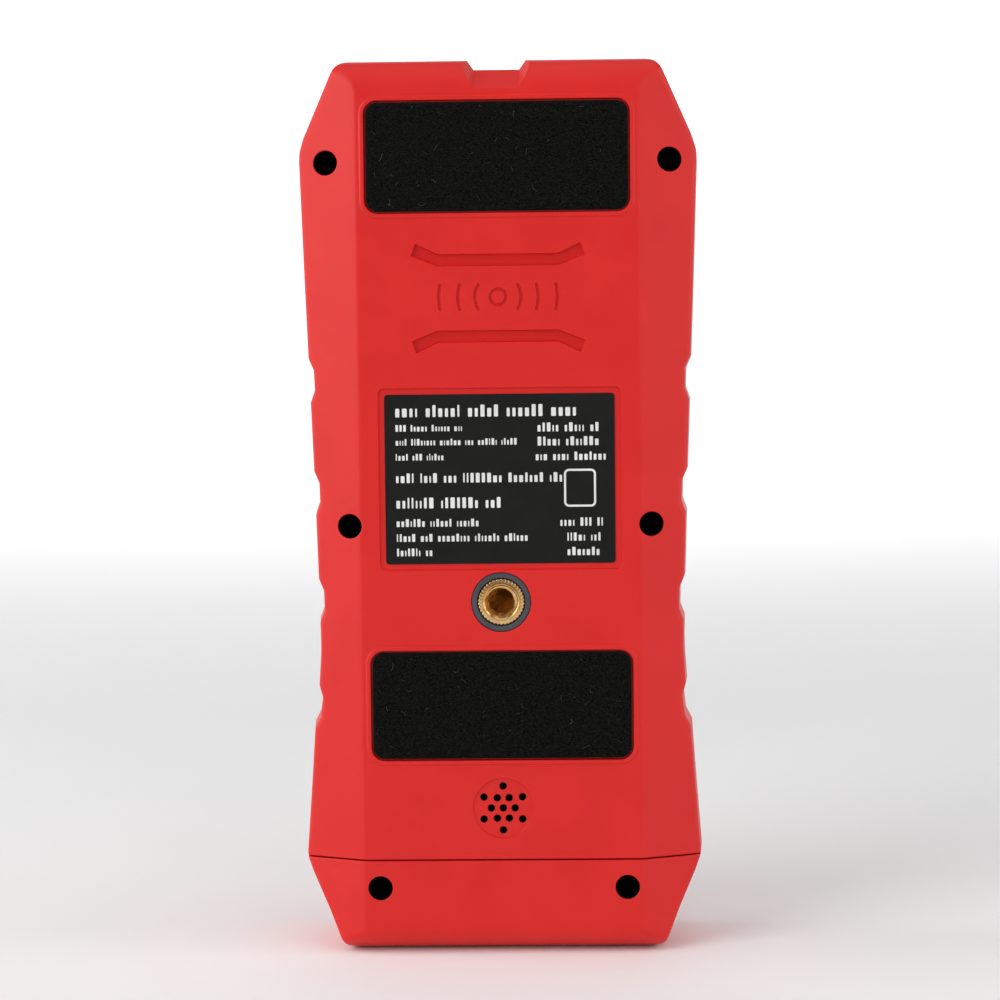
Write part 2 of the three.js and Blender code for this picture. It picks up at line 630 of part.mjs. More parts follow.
function keyCap({ x, z, radius }) {
  const flangeTop = FRONT_INSIDE - GAP;
  const flange = rodY(radius + KEY.flange, x, z, flangeTop - KEY.flangeThickness, flangeTop, 24);
  const cap = new THREE.LatheGeometry([
    new THREE.Vector2(0, flangeTop - 0.1), new THREE.Vector2(radius, flangeTop - 0.1),
    new THREE.Vector2(radius, FRONTMOST - KEY.bevel), new THREE.Vector2(radius - KEY.bevel, FRONTMOST),
    new THREE.Vector2(0, FRONTMOST),
  ], 24);
  cap.translate(x, 0, z);
  return flange.add(toSolid(cap));
}

const SWITCH_TOP = BOARD_FRONT + GAP + SWITCH.height;
const PLUNGER_TOP = FRONT_INSIDE - 2 * GAP - KEY.flangeThickness;

function switchBody({ x, z }) {
  const half = SWITCH.side / 2;
  const body = block(x - half, x + half, BOARD_FRONT + GAP, SWITCH_TOP, z - half, z + half);
  return body.subtract(rodY(SWITCH.plunger + GAP, x, z, SWITCH_TOP - SWITCH.well, FAR, 12));
}

function switchPlunger({ x, z }) {
  return rodY(SWITCH.plunger, x, z, SWITCH_TOP - SWITCH.well + SWITCH.travel, PLUNGER_TOP, 12);
}

// The rubber charging-port cover fills this space, flush with the side wall.
function flapSpace(clearance) {
  const half = FLAP.height / 2 + clearance;
  const y0 = USB_DEPTH - FLAP.width / 2 - clearance;
  const y1 = USB_DEPTH + FLAP.width / 2 + clearance;
  return block(FLAP_FLOOR - clearance, FAR, y0, y1, USB.z - half, USB.z + half);
}

function usbCover() {
  return flapSpace(0).intersect(frontForm());
}

function lightPipe() {
  return rodY(LIGHT_PIPE.radius, 0, LENGTH - LIGHT_PIPE.fromTop, BOARD_FRONT + 2 * GAP + LIGHT_PIPE.led,
    DEPTH + LIGHT_PIPE.proud, 12);
}

// ---------------------------------------------------------------- electronics

function mainBoard() {
  const z0 = BOARD.tailZ;
  let board = block(-BOARD_HALF_WIDTH, BOARD_HALF_WIDTH, BOARD_BACK, BOARD_FRONT, z0, BOARD_TOP);
  const tabEnd = USB_MOUTH - USB.pad - 3 * GAP;
  board = board.add(block(0, tabEnd, BOARD_BACK, BOARD_FRONT, USB.z - USB.tab / 2, USB.z + USB.tab / 2));
  const posts = CASE_SCREWS.flatMap(({ name }) => caseScrewPlaces(name));
  const cuts = [
    ...posts.map(({ x, z }) => rodY(BOSS + GAP, x, z, 0, FAR)),
    ...boardScrewPlaces().map(({ x, z }) => rodY(BOARD_SCREW.shank + GAP, x, z, 0, FAR, 8)),
  ];
  return board.subtract(joined(...cuts));
}

function lcdFrame() {
  const [width, height] = WINDOW_SIZE;
  const rim = LCD.rim;
  const outer = roundedRectangle(width + rim, height + rim, 0.8, 0, BEZEL_Z);
  const inner = roundedRectangle(width - rim, height - rim, 0.4, 0, BEZEL_Z);
  const top = BOARD_FRONT + 2 * GAP + LCD.backlight + LCD.thickness;
  return plate(outer, BOARD_FRONT + GAP, top, 1).subtract(plate(inner, 0, FAR, 1));
}

function lcdLayer(y0, thickness) {
  const [width, height] = WINDOW_SIZE;
  const inside = LCD.rim + 2 * GAP;
  return plate(roundedRectangle(width - inside, height - inside, 0.3, 0, BEZEL_Z), y0, y0 + thickness, 1);
}

function usbSocket() {
  const half = USB.width / 2;
  const y0 = USB_DEPTH - USB.height / 2;
  const y1 = USB_DEPTH + USB.height / 2;
  const wall = USB.metal;
  const shell = block(USB_MOUTH - USB.length, USB_MOUTH, y0, y1, USB.z - half, USB.z + half);
  const back = USB_MOUTH - USB.length + USB.back;
  return shell.subtract(block(back, FAR, y0 + wall, y1 - wall, USB.z - half + wall, USB.z + half - wall));
}

function usbTongue() {
  const back = USB_MOUTH - USB.length + USB.back + GAP;
  const half = 0.37 * USB.width;
  return block(back, USB_MOUTH - 1.2, USB_DEPTH - USB.tongue / 2, USB_DEPTH + USB.tongue / 2, USB.z - half,
    USB.z + half);
}

function sensorBoard() {
  const { halfWidth, height, thickness, depth, fromTop } = SENSOR_BOARD;
  const top = LENGTH - fromTop;
  const board = block(-halfWidth, halfWidth, depth, depth + thickness, top - height, top);
  const holes = stakePlaces().map(({ x, z }) => rodY(STAKE.peg + GAP, x, z, 0, FAR, 8));
  return board.subtract(joined(...holes));
}

function sensorCoil() {
  const z = LENGTH - COIL.fromTop;
  const y1 = SENSOR_BOARD.depth - GAP;
  const disc = rodY(COIL.outer, 0, z, y1 - COIL.thickness, y1, 32);
  return disc.subtract(rodY(COIL.inner, 0, z, 0, FAR, 32));
}

function sensePlate(side) {
  const z = LENGTH - PLATE.fromTop;
  const inner = side * PLATE.apart / 2;
  const outer = inner + side * PLATE.width;
  const y1 = SENSOR_BOARD.depth - GAP;
  return block(Math.min(inner, outer), Math.max(inner, outer), y1 - PLATE.thickness, y1, z - PLATE.height / 2,
    z + PLATE.height / 2);
}

// The flat cable leaves the sensor board straight, turns down in a loop and enters its socket from below.
function ribbonSocket() {
  const { width, height, thickness, fromTop } = RIBBON_SOCKET;
  const z = LENGTH - fromTop;
  return block(-width / 2, width / 2, BOARD_BACK - GAP - thickness, BOARD_BACK - GAP, z - height, z);
}

function boardRibbon() {
  const y0 = SENSOR_BOARD.depth + SENSOR_BOARD.thickness + GAP;
  const y1 = BOARD_BACK - GAP - RIBBON_SOCKET.thickness / 2;
  const top = LENGTH - RIBBON_SOCKET.fromTop - RIBBON_SOCKET.height - GAP;
  const radius = (y1 - y0) / 2;
  const low = top - RIBBON_SOCKET.slack;
  const thickness = CABLE.ribbonThickness;
  const shape = new THREE.Shape();
  shape.moveTo(y0, top);
  shape.lineTo(y0, low);
  shape.absarc(y0 + radius, low, radius, Math.PI, 2 * Math.PI);
  shape.lineTo(y1, top);
  shape.lineTo(y1 - thickness, top);
  shape.absarc(y0 + radius, low, radius - thickness, 0, -Math.PI, true);
  shape.lineTo(y0 + thickness, top);
  return prismX(shape, -CABLE.ribbonWidth / 2, CABLE.ribbonWidth / 2);
}

function laserModule() {
  const shoulder = LASER_TOP - LASER.noseLength;
  const barrel = rodZ(LASER.radius, 0, PARTING, LASER_TOP - LASER.length, shoulder);
  const nose = rodZ(LASER.nose, 0, PARTING, shoulder - 1, LASER_TOP);
  return barrel.add(nose).subtract(rodZ(LASER.aperture, 0, PARTING, shoulder - 1, LASER_TOP + 1, 12));
}

function laserWindow() {
  const { radius, thickness, beyondBarrel } = LASER_WINDOW;
  const outside = LASER_TOP + beyondBarrel;
  return rodZ(radius, 0, PARTING, outside - thickness, outside);
}

function batteryCell() {
  const { width, height, thickness, z, depth } = BATTERY;
  const shape = roundedRectangle(width, thickness, 1.2, 0, depth + thickness / 2);
  return prismZ(shape, z - height / 2, z + height / 2);
}

function batteryPad() {
  const y0 = BATTERY.depth + BATTERY.thickness + GAP;
  return block(-BATTERY_FOAM / 2, BATTERY_FOAM / 2, y0, BOARD_BACK - GAP, BOARD.tailZ + 1, BATTERY_TOP - 1);
}

function batterySocket() {
  const { width, thickness, height, z } = BATTERY_SOCKET;
  return block(-width / 2, width / 2, BOARD_BACK - GAP - thickness, BOARD_BACK - GAP, z, z + height);
}

function batteryLead(side) {
  const x = side * 1.6;
  const plugDepth = BOARD_BACK - GAP - BATTERY_SOCKET.thickness / 2;
  const cellDepth = BATTERY.depth + BATTERY.thickness / 2;
  const low = BATTERY_TOP + GAP;
  const high = BATTERY_SOCKET.z - GAP;
  return wire([
    [2.5 * x, cellDepth, low], [2.5 * x, cellDepth, low + 1.5],
    [x, plugDepth, high - 1.5], [x, plugDepth, high],
  ], CABLE.wire);
}

const SOUNDER_BACK = WALL + 2 * GAP + SOUNDER.clothThickness;

function sounderCan() {
  return rodY(SOUNDER.radius, 0, GRILLE.z, SOUNDER_BACK, SOUNDER_BACK + SOUNDER.thickness, 24);
}

function sounderCable() {
  const y0 = SOUNDER_BACK + SOUNDER.thickness + GAP;
  const y1 = BOARD_BACK - GAP;
  const z = GRILLE.z;
  return wire([[4, y0, z], [4.6, y0 + 2, z], [12, y1 - 2, z + 6], [12, y1, z + 6]], CABLE.lead);
}

function laserCable() {
  const z = LASER_TOP - LASER.length - GAP;
  const y1 = BOARD_BACK - GAP;
  return wire([[0, PARTING, z], [0, PARTING, z - 2], [0, y1 - 1.5, z - 7], [0, y1, z - 8.5]], CABLE.lead);
}

// A rectangle on the back of the main board, drawn in by a margin.
function onBoard({ x, z, width, height }, y0, y1, margin = 0) {
  const across = width / 2 - margin;
  const up = height / 2 - margin;
  return block(x - across, x + across, y0, y1, z - up, z + up);
}

function processor() {
  const y1 = BOARD_BACK - GAP;
  return onBoard(PROCESSOR, y1 - PROCESSOR.thickness, y1);
}

function shieldCan() {
  const y1 = BOARD_BACK - GAP;
  const can = onBoard(SHIELD, y1 - SHIELD.thickness, y1);
  return can.subtract(onBoard(SHIELD, y1 - SHIELD.thickness + SHIELD.sheet, y1 + 1, SHIELD.sheet));
}

function statusLed() {
  const z = LENGTH - LIGHT_PIPE.fromTop;
  return block(-1.4, 1.4, BOARD_FRONT + GAP, BOARD_FRONT + GAP + LIGHT_PIPE.led, z - 1, z + 1);
}

// ---------------------------------------------------------------- assembly

const scanner = new THREE.Group();
scanner.position.y = -(FRONTMOST + REARMOST) / 2;

function addPiece(name, solid, material) {
  const mesh = new THREE.Mesh(toGeometry(solid), material);
  mesh.name = name;
  scanner.add(mesh);
}

function addCase() {
  addPiece('rear_shell', rearShell(), MATERIALS.shell);
  addPiece('front_shell', frontShell(), MATERIALS.shell);
  addPiece('tail_cover', tailCover(), MATERIALS.shell);
  addPiece('felt_pad_upper', feltPad(FELT_PLACES.upper), MATERIALS.felt);
  addPiece('felt_pad_lower', feltPad(FELT_PLACES.lower), MATERIALS.felt);
  addPiece('rating_label', ratingLabel(), MATERIALS.label);
  addPiece('tripod_insert', tripodInsert(), MATERIALS.brass);
  addPiece('insert_sleeve', insertSleeve(), MATERIALS.sleeve);
  for (const { name } of CASE_SCREWS) {
    for (const { side, x, z } of caseScrewPlaces(name)) {
      addPiece(`case_screw_${name}_${side}`, screw(x, z, SCREW.seat - GAP, SCREW), MATERIALS.screw);
    }
  }
}

function addFront() {
  addPiece('front_bezel', frontBezel(), MATERIALS.darkPlastic);
  addPiece('display_window', displayWindow(), MATERIALS.glass);
  addPiece('lcd_frame', lcdFrame(), MATERIALS.whitePlastic);
  addPiece('backlight_panel', lcdLayer(BOARD_FRONT + GAP, LCD.backlight), MATERIALS.clear);
  addPiece('lcd_panel', lcdLayer(BOARD_FRONT + 2 * GAP + LCD.backlight, LCD.thickness), MATERIALS.glass);
  for (const key of KEYS) {
    addPiece(`${key.name}_key`, keyCap(key), MATERIALS.darkPlastic);
    addPiece(`${key.name}_switch`, switchBody(key), MATERIALS.darkPlastic);
    addPiece(`${key.name}_plunger`, switchPlunger(key), MATERIALS.whitePlastic);
  }
  addPiece('usb_cover', usbCover(), MATERIALS.rubber);
  addPiece('status_light_pipe', lightPipe(), MATERIALS.clear);
  addPiece('status_led', statusLed(), MATERIALS.whitePlastic);
}

function addElectronics() {
  addPiece('main_board', mainBoard(), MATERIALS.board);
  for (const { name, x, z } of boardScrewPlaces()) {
    addPiece(`board_screw_${name}`, screw(x, z, BOARD_BACK - GAP, BOARD_SCREW, 8), MATERIALS.steel);
  }
  addPiece('usb_socket', usbSocket(), MATERIALS.steel);
  addPiece('usb_tongue', usbTongue(), MATERIALS.darkPlastic);
  addPiece('processor', processor(), MATERIALS.darkPlastic);
  addPiece('shield_can', shieldCan(), MATERIALS.steel);
  addPiece('sensor_board', sensorBoard(), MATERIALS.board);
  addPiece('sensor_coil', sensorCoil(), MATERIALS.copper);
  addPiece('sense_plate_left', sensePlate(-1), MATERIALS.copper);
  addPiece('sense_plate_right', sensePlate(1), MATERIALS.copper);
  addPiece('ribbon_socket', ribbonSocket(), MATERIALS.whitePlastic);
  addPiece('board_ribbon', boardRibbon(), MATERIALS.whitePlastic);
  addPiece('laser_module', laserModule(), MATERIALS.brass);
  addPiece('laser_window', laserWindow(), MATERIALS.clear);
  addPiece('laser_cable', laserCable(), MATERIALS.wireRed);
  addPiece('battery_cell', batteryCell(), MATERIALS.foil);
  addPiece('battery_foam', batteryPad(), MATERIALS.foam);
  addPiece('battery_socket', batterySocket(), MATERIALS.whitePlastic);
  addPiece('battery_lead_positive', batteryLead(1), MATERIALS.wireRed);
  addPiece('battery_lead_negative', batteryLead(-1), MATERIALS.wireBlack);
  addPiece('sounder', sounderCan(), MATERIALS.darkPlastic);
  addPiece('sounder_cloth', sounderCloth(), MATERIALS.felt);
  addPiece('sounder_cable', sounderCable(), MATERIALS.wireBlack);
}

addCase();
addFront();
addElectronics();

export default scanner;
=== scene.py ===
"""Looks of a handheld wall scanner (stud finder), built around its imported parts.

The scanner stands on its tail: +Z runs to the end with the marking notch, the padded back faces -Y and
the display faces +Y. Sizes in the code are millimetres; "depth" is measured inward from the flat back.
"""

import math
import random

import bmesh
import bpy
import numpy as np
from mathutils import Matrix, Vector
from mathutils.geometry import delaunay_2d_cdt
from mathutils.noise import noise


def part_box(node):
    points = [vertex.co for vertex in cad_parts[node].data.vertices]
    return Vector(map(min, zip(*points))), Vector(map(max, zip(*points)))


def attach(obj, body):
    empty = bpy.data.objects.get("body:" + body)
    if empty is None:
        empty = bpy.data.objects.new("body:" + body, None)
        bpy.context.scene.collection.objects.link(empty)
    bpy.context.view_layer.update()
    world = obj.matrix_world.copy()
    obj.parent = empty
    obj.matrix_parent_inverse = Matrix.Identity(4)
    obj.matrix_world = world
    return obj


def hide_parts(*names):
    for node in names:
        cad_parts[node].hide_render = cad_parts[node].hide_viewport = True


bl_info = {
    "name": "Wall scanner",
    "version": (1, 0, 0),
    "blender": (4, 5, 0),
    "location": "3D View > Sidebar > Scanner",
    "description": "Builds the visible pieces and finishes of a handheld wall scanner",
    "category": "Object",
}

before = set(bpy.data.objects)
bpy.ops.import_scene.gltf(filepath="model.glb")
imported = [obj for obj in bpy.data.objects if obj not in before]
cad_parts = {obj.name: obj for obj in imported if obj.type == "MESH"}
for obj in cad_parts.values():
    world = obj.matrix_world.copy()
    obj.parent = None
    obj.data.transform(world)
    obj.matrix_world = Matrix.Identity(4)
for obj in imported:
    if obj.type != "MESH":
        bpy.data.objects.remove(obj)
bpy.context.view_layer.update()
MM = 0.001

# ------------------------------------------------------------------ real sizes, in millimetres


def box_mm(node):
    """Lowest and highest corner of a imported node, in millimetres."""
    low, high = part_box(node)
    return low / MM, high / MM


BACK_Y = box_mm("rating_label")[0].y       # the flat back
LENGTH = box_mm("rear_shell")[1].z
HALF_WIDTH = box_mm("front_shell")[1].x
GAP = 0.3
WALL = 2.2
PARTING = 14.0
DEPTH = 28.0
CREASE = HALF_WIDTH - 12.8
SLOPE = math.tan(math.radians(22.7))
SIDE_DRAFT = 1.2
DRAFT_SPAN = 14.85
TOP_ROLL = (7.5, 5.5)                      # length, depth
TAIL_ROLL = (6.0, 9.0)
SEAM = 19.4
EDGE_ROUND = (0.9, 0.7)                    # width, height of the round along the rim of the back
SCREW_SEAT = 8.0
COUNTERBORE = 2.45
GRILLE_Z = 29.95
GRILLE_HOLE = 0.7
TRIPOD_Z = 71.75
FRONT_ROUND = (1.4, 0.45)
# Felt pads, each in a well with a raised rim: width, height and corner of well and rim.
FELT = {"corner": 2.3, "well": (52.8, 22.3, 2.7), "rim": (54.6, 24.1, 3.6), "rim_height": 0.3,
        "floor": 1.1}
FELT_SIDE = (0.5, 0.45)                    # width and height of the soft edge of a pad
FELT_FOOT = 0.76                           # depth that the foot of a pad reaches
LABEL = {"corner": 0.7, "frame": 1.25, "frame_corner": 1.2, "floor": 0.54, "left": -20.8}
INK = 0.015                                # thickness of the print
SYMBOL_Z = LENGTH - 47.2
SYMBOL_HALF_LINE = 0.32
BAR_PLACES = [(LENGTH - 39.85, 1), (LENGTH - 55, -1)]    # height, way that the ends turn
TRIPOD_BORE = 6.0
PIPE_Z = LENGTH - 11.5
SKIN = 1.3                                 # thickness of the fine outer skin of the case
OVERLAP = 1.0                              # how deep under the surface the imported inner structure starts

# The marking notch: how far it cuts in, half its flat floor, how its sides flare, where it turns to run
# out down the back, and how it falls and narrows for each millimetre towards the back.
NOTCH = {"down": 1.9, "half": 4.55, "flare": 0.71, "turn": 5.5, "fall": 0.78, "narrowing": 0.03}
NOTCH_REACH = 6.6

# Right-hand edge on the parting plane: inset from the widest point, height, radius of the corner.
# Waist corners turn little, so they take the largest arc that their edges allow.
TAIL_CORNERS = [(8.03, 0, 4.5), (4.6, 8.1, 12), (1.2, 16, 8), (0, 19.4, 5)]
WAIST_CORNERS = [(1.2, 35, 400), (2, 46.5, 400), (2.9, 54, 400), (3.45, 62, 400), (3.15, 76.7, 400),
                 (2.5, 98.9, 400)]
TOP_CORNERS = [(1.2, 44.8, 400), (0.4, 19.8, 12), (0.5, 17.7, 6), (1.4, 14.8, 6), (8.4, 0, 4.2)]
GRIP_NOTCHES = [50.2, 71.9, 93.7, 116.4]
GRIP_SHAPE = [(-4.3, 0), (-1.9, 0.95), (1.9, 0.95), (4.3, 0)]   # height from its middle, depth
GRIP_CLEAR = 5
GRIP_CORNER = 1.1
ARC_STEPS = 7
END_ZONE = 3                               # corners this close to an end follow the draw-in of that end

# ------------------------------------------------------------------ plane shapes, as arrays of [x, z]


def ring(radius, x=0.0, z=0.0, count=48):
    turn = np.arange(count) * 2 * math.pi / count
    return np.stack([x + radius * np.cos(turn), z + radius * np.sin(turn)], 1)


def rounded_rectangle(width, height, corner, x=0.0, z=0.0, steps=8):
    """Counter-clockwise loop with arcs at its corners."""
    points = []
    for quarter, (sx, sz) in enumerate([(1, 1), (-1, 1), (-1, -1), (1, -1)]):
        centre = (x + sx * (width / 2 - corner), z + sz * (height / 2 - corner))
        for i in range(steps + 1):
            turn = (quarter + i / steps) * math.pi / 2
            points.append((centre[0] + corner * math.cos(turn), centre[1] + corner * math.sin(turn)))
    return np.array(points)


def normals_of(loop):
    """Outward mitre vectors of a counter-clockwise loop."""
    edge = np.roll(loop, -1, 0) - loop
    edge /= np.maximum(np.linalg.norm(edge, axis=1, keepdims=True), 1e-9)
    out = np.stack([edge[:, 1], -edge[:, 0]], 1)
    both = out + np.roll(out, 1, 0)
    share = np.maximum(1 + (out * np.roll(out, 1, 0)).sum(1), 0.5)
    return both / share[:, None]


def offset(loop, distance):
    return loop + normals_of(loop) * distance


def stroke(points, half_width, steps=6):
    """Outline of a pen stroke along a line, with round ends."""
    line = np.array(points, float)
    along = np.gradient(line, axis=0)
    along /= np.linalg.norm(along, axis=1, keepdims=True)
    side = np.stack([along[:, 1], -along[:, 0]], 1) * half_width
    cap = np.arange(1, steps) * math.pi / steps
    end = line[-1] + np.outer(np.cos(cap), side[-1]) + np.outer(np.sin(cap), along[-1]) * half_width
    start = line[0] - np.outer(np.cos(cap), side[0]) - np.outer(np.sin(cap), along[0]) * half_width
    return np.concatenate([line + side, end, (line - side)[::-1], start])


def arc(radius, x, z, start, stop, count=14):
    """Points along an arc, its angles in degrees from +X."""
    turn = np.radians(np.linspace(start, stop, count))
    return np.stack([x + radius * np.cos(turn), z + radius * np.sin(turn)], 1)


def inside(points, loop):
    a = loop
    b = np.roll(loop, -1, 0)
    crosses = (a[None, :, 1] > points[:, None, 1]) != (b[None, :, 1] > points[:, None, 1])
    rise = np.where(a[:, 1] == b[:, 1], 1, b[:, 1] - a[:, 1])
    at = a[:, 0] + (points[:, None, 1] - a[:, 1]) * (b[:, 0] - a[:, 0]) / rise
    return (crosses & (points[:, None, 0] < at)).sum(1) % 2 == 1


def signed_distance(points, loop):
    """Distance to a loop, negative inside it."""
    edge = np.roll(loop, -1, 0) - loop
    reach = points[:, None] - loop[None]
    share = np.clip((reach * edge).sum(2) / np.maximum((edge ** 2).sum(1), 1e-12), 0, 1)
    gap = np.linalg.norm(reach - share[..., None] * edge, axis=2).min(1)
    return np.where(inside(points, loop), -gap, gap)


# ------------------------------------------------------------------ outline of the case


def case_corners():
    right = [(HALF_WIDTH - inset, z, r) for inset, z, r in TAIL_CORNERS + WAIST_CORNERS]
    right += [(HALF_WIDTH - inset, LENGTH - down, r) for inset, down, r in TOP_CORNERS]
    heights = [z for _, z, _ in right[1:-1]]
    widths = [x for x, _, _ in right[1:-1]]
    for centre in GRIP_NOTCHES:
        right = [p for p in right if abs(p[1] - centre) > GRIP_CLEAR]
        right += [(np.interp(centre + dz, heights, widths) - cut, centre + dz, GRIP_CORNER)
                  for dz, cut in GRIP_SHAPE]
    right.sort(key=lambda p: (p[1], p[0]))
    top = [p for p in right if p[1] > LENGTH / 2]
    top.sort(key=lambda p: (p[1], -p[0]))
    right = [p for p in right if p[1] <= LENGTH / 2] + top
    left = [(-x, z, r) for x, z, r in reversed(right)]
    return np.array(right + left)


CORNERS = case_corners()


def case_ring(side, end):
    """The outline drawn in at the sides and at the ends, with its corners rounded."""
    corners = CORNERS[:, :2] - normals_of(CORNERS[:, :2]) * side
    corners[CORNERS[:, 1] < END_ZONE, 1] += end - side
    corners[CORNERS[:, 1] > LENGTH - END_ZONE, 1] -= end - side
    before = np.roll(corners, 1, 0) - corners
    after = np.roll(corners, -1, 0) - corners
    length_before = np.linalg.norm(before, axis=1)
    length_after = np.linalg.norm(after, axis=1)
    before /= length_before[:, None]
    after /= length_after[:, None]
    turn = math.pi - np.arccos(np.clip((before * after).sum(1), -1, 1))
    room = 0.49 * np.minimum(length_before, length_after)
    reach = np.minimum(CORNERS[:, 2] * np.tan(turn / 2), room)
    share = np.linspace(0, 1, ARC_STEPS)[None, :, None]
    start = (corners + before * reach[:, None])[:, None]
    stop = (corners + after * reach[:, None])[:, None]
    curve = (1 - share) ** 2 * start + 2 * share * (1 - share) * corners[:, None] + share ** 2 * stop
    return curve.reshape(-1, 2)


def roll(run, size):
    """How deep an elliptical roll-off lies, run millimetres past its start."""
    share = np.clip(run / size[0], 0, 1)
    return size[1] * (1 - np.sqrt(1 - share ** 2))


def back_depth(points):
    """Depth of the bare back: flat middle, bevelled sides and rolled ends, which blend softly."""
    x, z = np.abs(points[:, 0]), points[:, 1]
    rise = (x - CREASE) * SLOPE
    softness = 0.12
    bevel = (rise + np.sqrt(rise ** 2 + softness ** 2)) / 2
    ends = roll(z - (LENGTH - TOP_ROLL[0]), TOP_ROLL) + roll(TAIL_ROLL[0] - z, TAIL_ROLL)
    power = 3.5
    return (bevel ** power + ends ** power) ** (1 / power)


def back_boundary():
    """Where the drafted side walls meet the back, and the outline on the parting plane."""
    outer = case_ring(0, 0)
    drawn = (case_ring(SIDE_DRAFT, 0) - outer) / SIDE_DRAFT
    inset = np.zeros(len(outer))
    for _ in range(6):
        depth = back_depth(outer + drawn * inset[:, None]) + EDGE_ROUND[1]
        inset = SIDE_DRAFT * (PARTING - depth) / DRAFT_SPAN
    return outer + drawn * inset[:, None], outer


# ------------------------------------------------------------------ reliefs cut in a surface


def recess(depth, lip=0.15, wall=0.06, fillet=0.15, steps=3):
    """Offsets from an edge and the depth at each: rounded lip, drafted wall, rounded corner, floor."""
    turns = [i / steps * math.pi / 2 for i in range(steps + 1)]
    rows = [(lip * (1 - math.sin(t)), lip * (1 - math.cos(t))) for t in turns]
    rows += [(-wall - fillet * (1 - math.cos(t)), depth - fillet * (1 - math.sin(t))) for t in turns]
    return rows


def raised(height, round_off=0.3):
    rows = [(0.16, 0), (0.06, -0.12), (0, -0.4), (-0.3 * round_off, -0.75), (-0.6 * round_off, -0.93)]
    return [(out, share * height) for out, share in rows] + [(-round_off, -height)]


class Relief:
    """A loop with a profile across its edge, added to the depth of the surface."""

    def __init__(self, loop, rows):
        self.loop = loop
        self.rows = rows

    def loops(self):
        return [offset(self.loop, out) for out, _ in self.rows]

    def depth(self, points):
        reach = max(out for out, _ in self.rows) + 0.5
        low, high = self.loop.min(0) - reach, self.loop.max(0) + reach
        near = ((points > low) & (points < high)).all(1)
        added = np.zeros(len(points))
        outs = [out for out, _ in self.rows][::-1]
        depths = [depth for _, depth in self.rows][::-1]
        if near.any():
            added[near] = np.interp(signed_distance(points[near], self.loop), outs, depths)
        return added


# ------------------------------------------------------------------ meshes


def placed(name, data):
    """A new object in the scene."""
    thing = bpy.data.objects.new(name, data)
    bpy.context.scene.collection.objects.link(thing)
    return thing


def new_piece(name, vertices, faces):
    """A mesh object from points in millimetres, written as [x, depth, z]."""
    points = np.array(vertices, float)
    points[:, 1] += BACK_Y
    mesh = bpy.data.meshes.new(name)
    mesh.from_pydata((points * MM).tolist(), [], faces)
    return placed(name, mesh)


def tidied(piece):
    """Faces turned outward, split points joined."""
    form = bmesh.new()
    form.from_mesh(piece.data)
    bmesh.ops.remove_doubles(form, verts=form.verts, dist=1e-7)
    bmesh.ops.recalc_face_normals(form, faces=form.faces)
    form.to_mesh(piece.data)
    form.free()
    return piece


def tiled(boundary, loops, lines):
    """Triangles inside a boundary that keep the given loops and lines as edges."""
    points, edges = [], []
    for chain, closed in [(boundary, True)] + [(l, True) for l in loops] + [(l, False) for l in lines]:
        first = len(points)
        points += [Vector(p) for p in chain.tolist()]
        edges += [(first + i, first + i + 1) for i in range(len(chain) - 1)]
        if closed:
            edges.append((first + len(chain) - 1, first))
    places, _, faces, origins = delaunay_2d_cdt(points, edges, [], 0, 1e-5)[:4]
    places = np.array([tuple(p) for p in places])
    corners = np.array([list(f) for f in faces])
    middles = places[corners].mean(1)
    kept = corners[inside(middles, boundary)]
    index = {origin: i for i, found in enumerate(origins) for origin in found}
    return places, kept.tolist(), [index[i] for i in range(len(boundary))]


def capped_solid(name, boundary, depth_at, loops, lines, walls):
    """A closed solid: a relief surface, walls down through rings of points, and a flat base."""
    places, faces, rim = tiled(boundary, loops, lines)
    depth = depth_at(places)
    vertices = np.stack([places[:, 0], depth, places[:, 1]], 1).tolist()
    above = rim
    for points, level in walls:
        first = len(vertices)
        level = np.broadcast_to(level, len(points))
        vertices += np.stack([points[:, 0], level, points[:, 1]], 1).tolist()
        below = list(range(first, first + len(points)))
        for i in range(len(rim)):
            j = (i + 1) % len(rim)
            faces.append([above[i], above[j], below[j], below[i]])
        above = below
    faces.append(above)
    return tidied(new_piece(name, vertices, faces))


def turned(name, profile, x=0.0, z=0.0, count=48, wave=None):
    """A solid of revolution about a line along depth. Profile rows are [radius, depth], first to last."""
    vertices, faces = [], []
    turns = np.arange(count) * 2 * math.pi / count
    for row, (radius, depth) in enumerate(profile):
        radii = np.full(count, float(radius)) if wave is None else wave(row, radius, depth, turns)
        vertices += np.stack([x + radii * np.cos(turns), np.full(count, depth), z + radii * np.sin(turns)],
                             1).tolist()
    for row in range(len(profile) - 1):
        for i in range(count):
            j = (i + 1) % count
            a = row * count
            faces.append([a + i, a + j, a + count + j, a + count + i])
    faces.append(list(range(count)))
    faces.append(list(range((len(profile) - 1) * count, len(profile) * count)))
    return tidied(new_piece(name, vertices, faces))


def prism(name, loop, low, high):
    count = len(loop)
    vertices = [(x, low, z) for x, z in loop] + [(x, high, z) for x, z in loop]
    faces = [list(range(count)), list(range(count, 2 * count))]
    faces += [[i, (i + 1) % count, count + (i + 1) % count, count + i] for i in range(count)]
    return tidied(new_piece(name, vertices, faces))


def hull(name, points):
    piece = new_piece(name, points, [])
    form = bmesh.new()
    form.from_mesh(piece.data)
    bmesh.ops.convex_hull(form, input=form.verts)
    form.to_mesh(piece.data)
    form.free()
    return tidied(piece)


